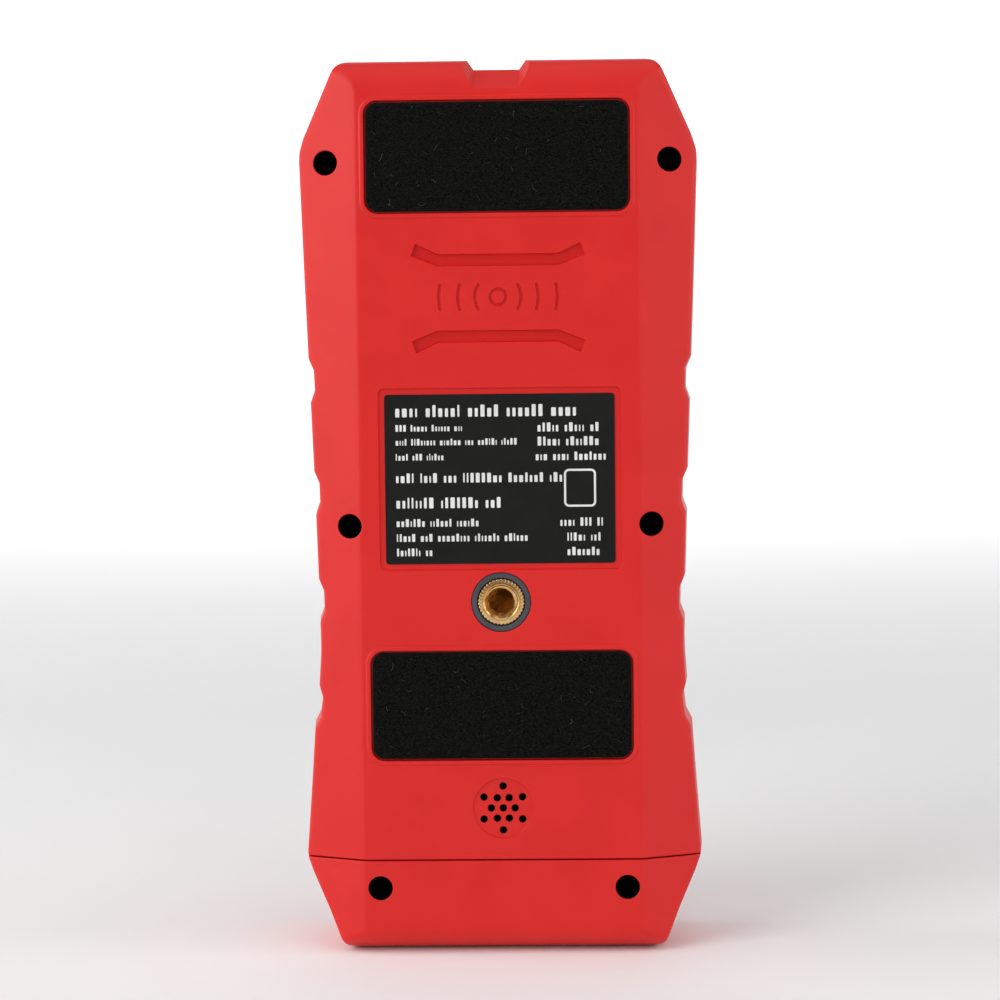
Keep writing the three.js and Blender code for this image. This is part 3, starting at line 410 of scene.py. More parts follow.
def slab(name, loop, top, bottom, rounding=0.1, steps=3):
    """A plate with one rounded face, at the depth called top."""
    way = 1 if bottom > top else -1
    turns = [i / steps * math.pi / 2 for i in range(steps + 1)]
    rings = [(rounding * (1 - math.sin(t)), top + way * rounding * (1 - math.cos(t))) for t in turns]
    vertices = []
    for inset, depth in rings + [(0, bottom)]:
        vertices += [(x, depth, z) for x, z in offset(loop, -inset)]
    count = len(loop)
    faces = [list(range(count)), list(range(len(vertices) - count, len(vertices)))]
    for row in range(len(rings)):
        a = row * count
        faces += [[a + i, a + (i + 1) % count, a + count + (i + 1) % count, a + count + i]
                  for i in range(count)]
    return tidied(new_piece(name, vertices, faces))


def joined(name, pieces):
    """One object from several."""
    form = bmesh.new()
    for piece in pieces:
        form.from_mesh(piece.data)
        bpy.data.objects.remove(piece)
    mesh = bpy.data.meshes.new(name)
    form.to_mesh(mesh)
    form.free()
    return placed(name, mesh)


def evaluated(piece):
    """The piece with its modifiers applied."""
    graph = bpy.context.evaluated_depsgraph_get()
    mesh = bpy.data.meshes.new_from_object(piece.evaluated_get(graph))
    piece.modifiers.clear()
    piece.data = mesh
    return piece


def combine(piece, other, operation):
    """Boolean with a second piece, which is used up."""
    cut = piece.modifiers.new("cut", "BOOLEAN")
    cut.operation = operation
    cut.solver = "MANIFOLD"
    cut.object = other
    evaluated(piece)
    bpy.data.objects.remove(other)
    if not piece.data.polygons:
        raise RuntimeError(f"{piece.name}: nothing is left after {operation}")
    return piece


def copy_of_node(node, name):
    piece = placed(name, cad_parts[node].data.copy())
    piece.data.materials.clear()
    return tidied(piece)


def shaded(piece, angle=32):
    """Smooth faces, hard edges above an angle, normals led by the large faces."""
    form = bmesh.new()
    form.from_mesh(piece.data)
    for edge in form.edges:
        edge.smooth = len(edge.link_faces) == 2 and edge.calc_face_angle(0) < math.radians(angle)
    for face in form.faces:
        face.smooth = True
    form.to_mesh(piece.data)
    form.free()
    weighted = piece.modifiers.new("normals", "WEIGHTED_NORMAL")
    weighted.keep_sharp = True
    return piece


def dress(piece, body, slot, material, *nodes):
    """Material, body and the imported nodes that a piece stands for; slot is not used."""
    piece.data.materials.clear()
    piece.data.materials.append(material)
    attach(piece, body)
    if nodes:
        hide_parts(*nodes)
    return piece


# ------------------------------------------------------------------ finishes


def linear(colour):
    """Linear light values of an sRGB hex colour."""
    parts = [int(colour[i:i + 2], 16) / 255 for i in (0, 2, 4)]
    return tuple(p / 12.92 if p <= 0.04045 else ((p + 0.055) / 1.055) ** 2.4 for p in parts)


def solid_colour(colour):
    return (*(linear(colour) if isinstance(colour, str) else colour), 1.0)


def add(tree, kind, values=(), links=(), **settings):
    """Adds a shader node, with its settings, the values of its sockets and the links into them."""
    node = tree.nodes.new("ShaderNode" + kind)
    for name, value in settings.items():
        setattr(node, name, value)
    for socket, value in dict(values).items():
        node.inputs[socket].default_value = value
    for socket, source in dict(links).items():
        tree.links.new(source, node.inputs[socket])
    return node


def blank(name):
    material = bpy.data.materials.new(name)
    material.use_nodes = True
    material.node_tree.nodes.clear()
    return material, material.node_tree


def finished(tree, shader):
    output = tree.nodes.new("ShaderNodeOutputMaterial")
    tree.links.new(shader.outputs[0], output.inputs["Surface"])


def per_metre(size_mm):
    """Scale of a noise or cell pattern whose features are that many millimetres across."""
    return 1 / (size_mm * MM)


def grained(name, dark, light, grain, roughness, bump=0.01, patches=6.0, metallic=0.0, **values):
    """A surface with a fine grain in its height and gloss, and a broad drift in its colour.

    grain and patches are sizes in millimetres, roughness the pair that the gloss varies between.
    """
    material, tree = blank(name)
    place = add(tree, "TexCoord").outputs["Object"]
    drift = add(tree, "TexNoise", {"Scale": per_metre(patches), "Detail": 3.0}, {"Vector": place})
    fine = add(tree, "TexNoise", {"Scale": per_metre(grain), "Detail": 2.0}, {"Vector": place})
    colour = add(tree, "ValToRGB", (), {"Fac": drift.outputs["Fac"]})
    colour.color_ramp.elements[0].position = 0.3
    colour.color_ramp.elements[0].color = solid_colour(dark)
    colour.color_ramp.elements[1].position = 0.7
    colour.color_ramp.elements[1].color = solid_colour(light)
    gloss = add(tree, "MapRange", {"From Min": 0.3, "From Max": 0.7, "To Min": roughness[0],
                                   "To Max": roughness[1]}, {"Value": fine.outputs["Fac"]})
    height = add(tree, "Bump", {"Strength": 1.0, "Distance": bump * MM}, {"Height": fine.outputs["Fac"]})
    shader = add(tree, "BsdfPrincipled", {"Metallic": metallic, **values},
                 {"Base Color": colour.outputs["Color"], "Roughness": gloss.outputs["Result"],
                  "Normal": height.outputs["Normal"]})
    finished(tree, shader)
    return material


def soft_touch_red(light, dark):
    """Soft-touch paint on moulded ABS: an even satin red, with a grain that only softens the light."""
    return grained("soft_touch_painted_abs_red", dark, light, 0.25, (0.40, 0.48), 0.012, 14.0,
                   **{"IOR": 1.5, "Specular IOR Level": 0.38})


def recess_shade_red():
    """The same red darkened as painted shade for the floors and walls of the recessed bars and symbol, with a
    slightly glossier finish.
    """
    return grained("soft_touch_red_recess_painted_shade", "CC110C", "D3140F", 0.25, (0.34, 0.42), 0.008, 14.0,
                   **{"IOR": 1.5, "Specular IOR Level": 0.34})


def bore_shade_black():
    """Near-black painted shade for the bore walls and the inside of the case, where the deep holes fall into
    shade.
    """
    return grained("bore_painted_shade_black", "020202", "040404", 0.4, (0.6, 0.75), 0.01,
                   **{"IOR": 1.54, "Specular IOR Level": 0.15})


def pressed_felt():
    """Pressed polyester felt, dyed black: short matted fibres that catch a little light at their edges."""
    material, tree = blank("pressed_felt_black")
    place = add(tree, "TexCoord").outputs["Object"]
    drift = add(tree, "TexNoise", {"Scale": per_metre(2.5), "Detail": 4.0}, {"Vector": place})
    bent = add(tree, "VectorMath", {"Scale": 0.0012}, {0: drift.outputs["Color"]}, operation="SCALE")
    pushed = add(tree, "VectorMath", (), {0: place, 1: bent.outputs["Vector"]}, operation="ADD")
    stretched = add(tree, "Mapping", {"Scale": (1.0, 1.0, 3.5)}, {"Vector": pushed.outputs["Vector"]})
    pile = add(tree, "TexNoise", {"Scale": per_metre(0.35), "Detail": 5.0},
               {"Vector": stretched.outputs["Vector"]})
    colour = add(tree, "ValToRGB", (), {"Fac": pile.outputs["Fac"]})
    colour.color_ramp.elements[0].position = 0.42
    colour.color_ramp.elements[0].color = solid_colour("030303")
    colour.color_ramp.elements[1].position = 0.76
    colour.color_ramp.elements[1].color = solid_colour("272725")
    height = add(tree, "Bump", {"Strength": 1.0, "Distance": 0.12 * MM}, {"Height": pile.outputs["Fac"]})
    shader = add(tree, "BsdfPrincipled", {"Roughness": 0.95, "Specular IOR Level": 0.03,
                                          "Sheen Weight": 0.03, "Sheen Roughness": 0.5},
                 {"Base Color": colour.outputs["Color"], "Normal": height.outputs["Normal"]})
    finished(tree, shader)
    return material


def turned_brass():
    """Machined brass: warm, bright on the cut faces, with fine turning marks about the bore."""
    material, tree = blank("turned_brass")
    place = add(tree, "TexCoord").outputs["Object"]
    centred = add(tree, "VectorMath", {1: (0, 0, -TRIPOD_Z * MM)}, {0: place}, operation="ADD")
    rings = add(tree, "TexWave", {"Scale": per_metre(0.9), "Distortion": 1.5, "Detail": 2.0},
                {"Vector": centred.outputs["Vector"]}, wave_type="RINGS", rings_direction="Y")
    drift = add(tree, "TexNoise", {"Scale": per_metre(1.6), "Detail": 3.0}, {"Vector": place})
    colour = add(tree, "ValToRGB", (), {"Fac": drift.outputs["Fac"]})
    colour.color_ramp.elements[0].color = solid_colour("C58A42")
    colour.color_ramp.elements[1].color = solid_colour("F0D29A")
    gloss = add(tree, "MapRange", {"To Min": 0.14, "To Max": 0.26}, {"Value": rings.outputs["Fac"]})
    height = add(tree, "Bump", {"Strength": 0.5, "Distance": 0.01 * MM}, {"Height": rings.outputs["Fac"]})
    shader = add(tree, "BsdfPrincipled", {"Metallic": 1.0},
                 {"Base Color": colour.outputs["Color"], "Roughness": gloss.outputs["Result"],
                  "Normal": height.outputs["Normal"]})
    finished(tree, shader)
    return material


def circuit_board():
    """Glass-epoxy board under solder mask: green, with paler copper runs showing through."""
    material, tree = blank("solder_mask_green")
    place = add(tree, "TexCoord").outputs["Object"]
    runs = add(tree, "TexBrick", {"Color1": solid_colour("1C5C36"), "Color2": solid_colour("237044"),
                                  "Mortar": solid_colour("154A2B"), "Scale": per_metre(8.0),
                                  "Mortar Size": 0.03, "Brick Width": 0.7, "Row Height": 0.22},
               {"Vector": place})
    height = add(tree, "Bump", {"Strength": 0.4, "Distance": 0.03 * MM}, {"Height": runs.outputs["Fac"]})
    shader = add(tree, "BsdfPrincipled", {"Roughness": 0.35},
                 {"Base Color": runs.outputs["Color"], "Normal": height.outputs["Normal"]})
    finished(tree, shader)
    return material


def clear_cover(name, colour, alpha):
    """Clear acrylic: almost invisible, with sharp reflections and the faintest haze."""
    material, tree = blank(name)
    place = add(tree, "TexCoord").outputs["Object"]
    haze = add(tree, "TexNoise", {"Scale": per_metre(3.0), "Detail": 2.0}, {"Vector": place})
    gloss = add(tree, "MapRange", {"To Min": 0.02, "To Max": 0.06}, {"Value": haze.outputs["Fac"]})
    shader = add(tree, "BsdfPrincipled", {"Base Color": solid_colour(colour), "Alpha": alpha, "IOR": 1.49},
                 {"Roughness": gloss.outputs["Result"]})
    finished(tree, shader)
    return material


FINISHES = {}


def finish(name):
    """The finish of that name, made the first time it is asked for."""
    if name not in FINISHES:
        FINISHES[name] = MAKERS[name]()
    return FINISHES[name]


# Each row starts from the real material and how it was made, except the two rows of painted shade; sizes are
# grain and drift in millimetres.
MAKERS = {
    # Near-black painted shade for the bore walls and the inside of the case.
    "bore": bore_shade_black,
    # Deeper red painted shade for the recessed bars and symbol.
    "recess_shade_red": recess_shade_red,
    "felt": pressed_felt,
    "brass": turned_brass,
    "circuit_board": circuit_board,
    "clear_plastic": lambda: clear_cover("clear_acrylic", "DDE8EA", 0.3),
    "display_glass": lambda: clear_cover("window_acrylic", "0A0C0E", 0.22),
    # Loose polyester lint: pale thin threads lying on the black felt.
    "lint": lambda: grained("polyester_lint", "3A3833", "7C786F", 0.3, (0.7, 0.9)),
    # Matt printed polyester film: near black, flatter and greyer than the felt.
    "label": lambda: grained("printed_polyester_film", "0D0D0C", "131312", 0.18, (0.5, 0.6), 0.004,
                             **{"Specular IOR Level": 0.2}),
    "ink": lambda: grained("screen_print_white", "D9DAD8", "E9EAE8", 0.15, (0.6, 0.7), 0.002),
    # Glass-filled nylon sleeve: dark slate, slightly bluish, with a soft mould finish.
    "sleeve": lambda: grained("glass_filled_nylon", "38373F", "45434E", 0.3, (0.5, 0.65), 0.02),
    "dark_plastic": lambda: grained("moulded_abs_charcoal", "222226", "2B2B30", 0.22, (0.42, 0.55), 0.015),
    "key_rubber": lambda: grained("silicone_rubber_grey", "2E2E33", "38383E", 0.3, (0.62, 0.75), 0.01),
    "rubber": lambda: grained("tpe_rubber_black", "17171A", "202024", 0.3, (0.7, 0.85), 0.015),
    # Black-oxided steel screws: dull, with a faint metal glint on the edges.
    "black_screw": lambda: grained("black_oxide_steel", "0A0A0B", "141416", 0.2, (0.4, 0.55), 0.01,
                                   metallic=1.0),
    "steel": lambda: grained("drawn_steel", "9DA1A5", "C4C8CC", 0.3, (0.25, 0.4), 0.008, metallic=1.0),
    "copper": lambda: grained("bare_copper", "A85F34", "C98152", 0.4, (0.28, 0.42), 0.01, metallic=1.0),
    "white_plastic": lambda: grained("natural_nylon", "DCD9CD", "ECEAE0", 0.4, (0.45, 0.6), 0.01),
    "diffuser": lambda: grained("opal_diffuser", "E9EEF0", "F6F9FA", 0.3, (0.5, 0.6), 0.005),
    "foil": lambda: grained("laminated_foil", "AEB2B6", "D2D5D8", 1.2, (0.22, 0.42), 0.05, metallic=1.0),
    "foam": lambda: grained("open_cell_foam", "242428", "3A3A40", 0.5, (0.9, 1.0), 0.2),
    "wire_red": lambda: grained("pvc_insulation_red", "9C1B1B", "BC2A28", 0.5, (0.4, 0.5), 0.01),
    "wire_black": lambda: grained("pvc_insulation_black", "141416", "1E1E22", 0.5, (0.4, 0.5), 0.01),
    "grille_cloth": lambda: grained("woven_dust_cloth", "020202", "060606", 0.25, (0.9, 1.0), 0.05),
    # Reflective liquid-crystal stack: a pale grey-green field with darker printed segments.
    "lcd_field": lambda: grained("liquid_crystal_field", "9DB09A", "A9BBA4", 0.3, (0.3, 0.4), 0.001, 30.0),
    "lcd_mark": lambda: grained("liquid_crystal_segment", "151D1A", "1C2622", 0.3, (0.35, 0.45), 0.001),
}


# ------------------------------------------------------------------ what a user may change


class ScannerCase(bpy.types.PropertyGroup):
    """Colours and reliefs of the case."""

    light: bpy.props.FloatVectorProperty(
        name="Light red", description="Paler share of the case colour", subtype="COLOR", size=3,
        min=0, max=1, default=linear("DB1E19"))
    dark: bpy.props.FloatVectorProperty(
        name="Dark red", description="Deeper share of the case colour", subtype="COLOR", size=3,
        min=0, max=1, default=linear("D41915"))
    recess: bpy.props.FloatProperty(
        name="Label recess", description="Depth of the recess that holds the label", unit="LENGTH",
        min=0.0001, max=0.001, default=0.00055)
    bar: bpy.props.FloatProperty(
        name="Bar depth", description="Depth of the two bars across the back", unit="LENGTH",
        min=0.0001, max=0.0011, default=0.0008)
    engraving: bpy.props.FloatProperty(
        name="Engraving", description="Depth of the sensing symbol", unit="LENGTH",
        min=0.0001, max=0.001, default=0.00035)


class ScannerPads(bpy.types.PropertyGroup):
    """Felt pads that slide on the wall."""

    width: bpy.props.FloatProperty(
        name="Width", description="Width of a felt pad", unit="LENGTH", min=0.04, max=0.052, default=0.052)
    height: bpy.props.FloatProperty(
        name="Height", description="Height of a felt pad", unit="LENGTH", min=0.015, max=0.0215,
        default=0.0215)
    nap: bpy.props.FloatProperty(
        name="Nap", description="How far the matted fibres stand up and down", unit="LENGTH",
        min=0, max=0.0003, default=0.00007)
    lint: bpy.props.IntProperty(
        name="Lint", description="Loose fibres lying on each pad", min=0, max=400, default=30)


class ScannerLabel(bpy.types.PropertyGroup):
    """Rating label."""

    thickness: bpy.props.FloatProperty(
        name="Thickness", description="Thickness of the printed film", unit="LENGTH",
        min=0.0001, max=0.0003, default=0.0002)
    heading: bpy.props.FloatProperty(
        name="Heading", description="Height of the heading line", unit="LENGTH", min=0.001, max=0.004,
        default=0.0024)
    line: bpy.props.FloatProperty(
        name="Line", description="Height of the small lines", unit="LENGTH", min=0.0005, max=0.002,
        default=0.0012)


class ScannerInsert(bpy.types.PropertyGroup):
    """Brass tripod insert."""

    teeth: bpy.props.IntProperty(
        name="Knurl teeth", description="Teeth round the knurled edge", min=20, max=60, default=38)
    pitch: bpy.props.FloatProperty(
        name="Thread pitch", description="Pitch of the quarter-inch thread", unit="LENGTH",
        min=0.0005, max=0.002, default=0.00127)


class ScannerKeys(bpy.types.PropertyGroup):
    """Keys and their symbols."""

    dish: bpy.props.FloatProperty(
        name="Dish", description="How far the middle of a key sinks below its rim", unit="LENGTH",
        min=0, max=0.0006, default=0.00035)
    symbol: bpy.props.FloatProperty(
        name="Line width", description="Line width of the key symbols", unit="LENGTH",
        min=0.0003, max=0.001, default=0.0006)


class ScannerStage(bpy.types.PropertyGroup):
    """Floor, light and camera."""

    floor: bpy.props.FloatVectorProperty(
        name="Floor", description="Colour of the floor and backdrop", subtype="COLOR", size=3,
        min=0, max=1, default=linear("F7F7F7"))
    lens: bpy.props.FloatProperty(
        name="Lens", description="Focal length of the camera", unit="CAMERA", min=20, max=200, default=86.4)
    distance: bpy.props.FloatProperty(
        name="Distance", description="Camera to the middle of the back", unit="LENGTH", min=0.2, max=2,
        default=0.48)


# ------------------------------------------------------------------ the back of the case

BACK_RING, PARTING_RING = back_boundary()
REAR_BASE = PARTING - GAP / 2


def rounded_edge(distance, size):
    """Extra depth close to an edge, as a quarter of an ellipse: size is its width and height."""
    share = np.clip(1 - distance / size[0], 0, 1)
    return size[1] * (1 - np.sqrt(1 - share ** 2))


def edge_insets(width):
    return [width * (1 - math.sin(math.radians(turn))) for turn in (75, 60, 45, 30, 15, 0)]


def between(first, second, share):
    return first + (second - first) * share


def half_boundary(upper):
    """The rim of the back above or below the tail seam, on the back and on the parting plane."""
    level = SEAM + (GAP if upper else -GAP) / 2
    kept = (BACK_RING[:, 1] > level) == upper
    count = len(BACK_RING)
    start = next(i for i in range(count) if kept[i] and not kept[i - 1])
    run = [(start + i) % count for i in range(int(kept.sum()))]
    ends = []
    for i, j in ((run[-1], (run[-1] + 1) % count), (start - 1, start)):
        share = (level - BACK_RING[i, 1]) / (BACK_RING[j, 1] - BACK_RING[i, 1])
        back = between(BACK_RING[i], BACK_RING[j], share)
        outer = between(PARTING_RING[i], PARTING_RING[j], share)
        ends.append((back[0], outer[0]))
    (last, last_outer), (first, first_outer) = ends
    reach = abs(last)
    marks = [CREASE + k for k in (-1, -0.5, -0.2, 0, 0.2, 0.5, 1, 3, 5, 7, 9)] + [6, 12, 18, 24]
    marks += [reach - e for e in edge_insets(EDGE_ROUND[0])]
    marks = sorted({round(s * m, 6) for m in marks + [0] for s in (-1, 1) if abs(m) < reach - 0.02})
    if last > first:
        marks.reverse()
    across = np.array([last, *marks, first])
    stretch = last_outer / last
    seam_back = np.stack([across, np.full(len(across), level)], 1)
    seam_outer = np.stack([across * stretch, np.full(len(across), level)], 1)
    outer = PARTING_RING[run].copy()
    outer[:, 1] = np.maximum(outer[:, 1], level) if upper else np.minimum(outer[:, 1], level)
    return np.concatenate([BACK_RING[run], seam_back]), np.concatenate([outer, seam_outer]), level


def kept_runs(line, region):
    """The stretches of a line of points that lie inside a region."""
    mask = inside(line, region)
    runs, current = [], []
    for point, keep in zip(line, mask):
        if keep:
            current.append(point)
            continue
        if len(current) > 1:
            runs.append(np.array(current))
        current = []
    if len(current) > 1:
        runs.append(np.array(current))
    return runs


def back_lines():
    """Lines that follow the creases of the bevels, the rolled ends and the corners where they meet."""
    heights = np.arange(-1, LENGTH + 1, 1.5)
    lines = []
    for side in (-1, 1):
        for k in (-1.2, -0.7, -0.35, -0.1, 0.1, 0.35, 0.7, 1.2):
            lines.append(np.stack([np.full(len(heights), side * (CREASE + k)), heights], 1))
    across = np.arange(-HALF_WIDTH, HALF_WIDTH, 1.5)
    turns = np.radians(np.arange(0, 90, 8))
    for size, base, way in ((TOP_ROLL, LENGTH - TOP_ROLL[0], 1), (TAIL_ROLL, TAIL_ROLL[0], -1)):
        for turn in turns:
            level = base + way * size[0] * math.sin(turn)
            lines.append(np.stack([across, np.full(len(across), level)], 1))
        fine = np.radians(np.arange(4, 88, 4))
        for side in (-1, 1):
            for k in (-1.6, -0.8, 0, 0.8, 1.6, 3.0):
                x = CREASE + size[1] * (1 - np.cos(fine)) / SLOPE + k
                lines.append(np.stack([side * x, base + way * size[0] * np.sin(fine)], 1))
    return lines


def depth_of_back(reliefs, level):
    def depth_at(points):
        depth = back_depth(points)
        depth += rounded_edge(np.maximum(-signed_distance(points, BACK_RING), 0), EDGE_ROUND)
        depth += rounded_edge(np.abs(points[:, 1] - level), (0.25, 0.2))
        for relief in reliefs:
            depth += relief.depth(points)
        return depth
    return depth_at


def back_solid(name, upper, reliefs):
    """Closed solid of the rear case or tail cover, with its reliefs, down to the parting plane."""
    rim, base, level = half_boundary(upper)
    depth_at = depth_of_back(reliefs, level)
    region = offset(rim, -EDGE_ROUND[0] - 0.06)
    lines = [run for line in back_lines() for run in kept_runs(line, region)]
    near_rim = offset(rim, -0.01)
    for inset in edge_insets(EDGE_ROUND[0]):
        ring_line = offset(BACK_RING, -inset)
        lines += kept_runs(np.concatenate([ring_line, ring_line[:1]]), near_rim)
    way = 1 if upper else -1
    across = np.arange(-HALF_WIDTH, HALF_WIDTH, 1.0)
    for inset in (0.01, 0.03, 0.07, 0.13, 0.25):
        beside_seam = np.stack([across, np.full(len(across), level + way * inset)], 1)
        lines += kept_runs(beside_seam, region_inside(rim))
    loops = [loop for relief in reliefs for loop in relief.loops()]
    top = depth_at(rim)
    walls = [(between(rim, base, s), between(top, REAR_BASE, s)) for s in (0.3, 0.65)]
    return capped_solid(name, rim, depth_at, loops, lines, walls + [(base, REAR_BASE)])


def region_inside(rim):
    """The rim drawn in at its sides only, so that lines close to the seam stay in."""
    region = rim.copy()
    region[:, 0] *= 1 - 1.1 / HALF_WIDTH
    return region


def back_core(skin):
    """Plain solid that lies a skin below the back, open past the parting plane and the seam."""
    rim = case_ring(SIDE_DRAFT + skin, skin)
    base = case_ring(skin, skin)
    lines = [run for line in back_lines() for run in kept_runs(line, offset(rim, -0.4))]
    return capped_solid("core", rim, lambda p: back_depth(p) + skin, [], lines, [(base, PARTING + 1)])


def rod(x, z, radius, low, high, count=48):
    """Cutting rod along depth."""
    return turned("rod", [(radius, low), (radius, high)], x, z, count)


def screw_places(name):
    low, high = box_mm(f"case_screw_{name}_right")
    return [(side * (low.x + high.x) / 2, (low.z + high.z) / 2) for side in (-1, 1)]


def bore_lip(x, z, radius, lip, count=48):
    """Rounded lip where a bore breaks the surface; the bore itself is cut afterwards."""
    rows = [(lip * (1 - math.sin(t)), lip * (1 - math.cos(t))) for t in np.radians((0, 20, 40, 60, 80))]
    return Relief(ring(radius, x, z, count), rows + [(-0.05, lip), (-0.2, lip)])


def grille_places():
    places = [(0.0, GRILLE_Z)]
    for radius, start in ((2.4, 0), (4.5, 30)):
        for i in range(6):
            turn = math.radians(start + 60 * i)
            places.append((radius * math.cos(turn), GRILLE_Z + radius * math.sin(turn)))
    return places


def bar_loop(z, way):
    """Shallow bar whose two ends turn up (way 1) or down (way -1)."""
    right = [(12, -1.2), (17.3, 0.9), (16.4, 3.3), (12, 1.2)]
    left = [(-x, dz) for x, dz in reversed(right)]
    points = np.array([(x, z + way * dz) for x, dz in right + left])
    return points if way == 1 else points[::-1]


def symbol_loops():
    """Sensing symbol: a ring with three waves on each side."""
    radius = 1.55
    loops = [ring(radius + SYMBOL_HALF_LINE, 0, SYMBOL_Z, 32),
             ring(radius - SYMBOL_HALF_LINE, 0, SYMBOL_Z, 24)]
    for radius, spread in ((4.6, 31), (8.0, 17.5), (11.8, 11.8)):
        for middle in (0, 180):
            wave = arc(radius, 0, SYMBOL_Z, middle - spread, middle + spread)
            loops.append(stroke(wave, SYMBOL_HALF_LINE))
    return loops


def felt_place(which):
    low, high = box_mm(f"felt_pad_{which}")
    return (low.z + high.z) / 2


def rear_reliefs(settings):
    reliefs = []
    for z in (felt_place("upper"), felt_place("lower")):
        rim, well = (rounded_rectangle(*FELT[part], 0, z) for part in ("rim", "well"))
        reliefs += [Relief(rim, raised(FELT["rim_height"])),
                    Relief(well, recess(FELT["floor"], 0.14, 0.04, 0.1))]
    low, high = box_mm("rating_label")
    middle = (low.z + high.z) / 2
    width, height = (high[i] - low[i] + 2 * LABEL["frame"] for i in (0, 2))
    reliefs.append(Relief(rounded_rectangle(width, height, LABEL["frame_corner"], 0, middle),
                          recess(settings.recess / MM, 0.14, 0.16, 0.1)))
    bar = recess(settings.bar / MM, 0.1, 0.16, 0.12)
    reliefs += [Relief(bar_loop(z, way), bar) for z, way in BAR_PLACES]
    outer, inner, *waves = symbol_loops()
    depth = settings.engraving / MM
    cut = recess(depth, 0.06, 0.05, 0.06)
    reliefs.append(Relief(outer, cut))
    reliefs.append(Relief(inner, [(-out + 0.05, depth_here - depth) for out, depth_here in reversed(cut)]))
    reliefs += [Relief(wave, cut) for wave in waves]
    reliefs.append(Relief(ring(6.1, 0, GRILLE_Z, 64), recess(0.4, 0.12, 0.08, 0.15)))
    reliefs += [bore_lip(x, z, GRILLE_HOLE, 0.14, 24) for x, z in grille_places()]
    reliefs.append(bore_lip(0, TRIPOD_Z, TRIPOD_BORE, 0.18, 64))
    for name in ("top", "middle"):
        reliefs += [bore_lip(x, z, COUNTERBORE, 0.22) for x, z in screw_places(name)]
    return reliefs


def notch_section(depth, past=0):
    """Corners of the notch at a depth, past millimetres after the turn towards the back."""
    down = NOTCH["down"] + NOTCH["fall"] * past
    half = NOTCH["half"] - NOTCH["narrowing"] * past
    rows = [(side * half, depth, LENGTH - down) for side in (-1, 1)]
    return rows + [(side * (half + (down + 1) * NOTCH["flare"]), depth, LENGTH + 1) for side in (-1, 1)]


def notch_straight():
    """The marking notch across the end: a vee with a flat floor."""
    return hull("notch", notch_section(NOTCH["turn"] - 0.1) + notch_section(60))


def notch_runout():
    """The notch runs out down the rolled edge of the back and narrows."""
    return hull("notch", notch_section(NOTCH["turn"]) + notch_section(-1, NOTCH["turn"] + 1))


def laser_cutters():
    """Exit hole and window pocket, on the parting plane at the marking end."""
    cutters = []
    for radius, low, high in ((2.0, LENGTH - 6, LENGTH + 1), (4.3, LENGTH - 7.2, LENGTH - 2.7)):
        rows = [(x, PARTING + y, z) for x, y in ring(radius, count=40).tolist() for z in (low, high)]
        cutters.append(hull("laser_bore", rows))
    return cutters


def black_inside(piece, is_shaded_inside, is_deep=None):
    """Near-black painted shade on the bore walls and inside the case, and a deeper red painted shade in the
    bars and the symbol.
    """
    piece.data.materials.append(finish("bore"))
    count = len(piece.data.polygons)
    middles = np.empty(count * 3)
    piece.data.polygons.foreach_get("center", middles)
    middles = middles.reshape(-1, 3) / MM
    places, depth = middles[:, [0, 2]], middles[:, 1] - BACK_Y
    slots = is_shaded_inside(places, depth).astype(np.int32)
    if is_deep is not None:
        # Deeper red painted shade on the floors and walls of the bars and symbol.
        piece.data.materials.append(finish("recess_shade_red"))
        slots[is_deep(places, depth)] = 2
    piece.data.polygons.foreach_set("material_index", slots)


def in_bars(places, depth):
    """Faces on the floor and walls of the two bars and the sensing symbol, which get the deeper red painted
    shade.
    """
    below = depth - back_depth(places)
    outer, inner, *waves = symbol_loops()
    deep = inside(places, offset(outer, 0.03)) & ~inside(places, offset(inner, -0.03))
    for loop in [bar_loop(z, way) for z, way in BAR_PLACES] + waves:
        deep |= inside(places, offset(loop, 0.03))
    return deep & (below > 0.08) & (below < 0.95)


# Painted shade: faces deep inside the back and down the bore walls get the near-black finish.
def back_shade_mask(bores):
    inner = case_ring(SIDE_DRAFT + 0.9, 0.9)

    def is_shaded_inside(places, depth):
        below = depth - back_depth(places)
        x, z = places[:, 0], places[:, 1]
        at_end = (z > LENGTH - 2.1) | (z > LENGTH - 6.4) & (depth < 8)
        in_notch = (np.abs(x) < NOTCH_REACH) & at_end
        in_seam = np.abs(z - SEAM) < 0.6
        darkened = inside(places, inner) & (below > 0.95) & ~in_notch & ~in_seam
        for x, z, radius in bores:
            near = np.hypot(places[:, 0] - x, places[:, 1] - z) < radius + 0.06
            darkened |= near & (below > 0.17)
        return darkened
    return is_shaded_inside


def hollowed(piece, node, core):
    """A fine solid made into a skin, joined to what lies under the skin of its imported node."""
    combine(piece, core(SKIN), "DIFFERENCE")
    inner = combine(copy_of_node(node, "inner"), core(OVERLAP), "INTERSECT")
    return combine(piece, inner, "UNION")


def build_rear(settings, red):
    """Rear case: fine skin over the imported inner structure, then every bore cut through both."""
    piece = hollowed(back_solid("rear_case", True, rear_reliefs(settings)), "rear_shell", back_core)
    bores = [(x, z, COUNTERBORE) for name in ("top", "middle") for x, z in screw_places(name)]
    for x, z, radius in bores:
        combine(piece, rod(x, z, radius + 0.012, -1, SCREW_SEAT), "DIFFERENCE")
    for x, z in grille_places():
        combine(piece, rod(x, z, GRILLE_HOLE + 0.008, -1, WALL + 1, 24), "DIFFERENCE")
    combine(piece, rod(0, TRIPOD_Z, TRIPOD_BORE + 0.012, -1, 10.3, 64), "DIFFERENCE")
    for cutter in [notch_runout(), notch_straight()] + laser_cutters():
        combine(piece, cutter, "DIFFERENCE")
    dress(piece, "case", "red_shell", red, "rear_shell")
    holes = bores + [(x, z, GRILLE_HOLE) for x, z in grille_places()] + [(0, TRIPOD_Z, TRIPOD_BORE)]
    black_inside(piece, back_shade_mask(holes), in_bars)
    return shaded(piece)


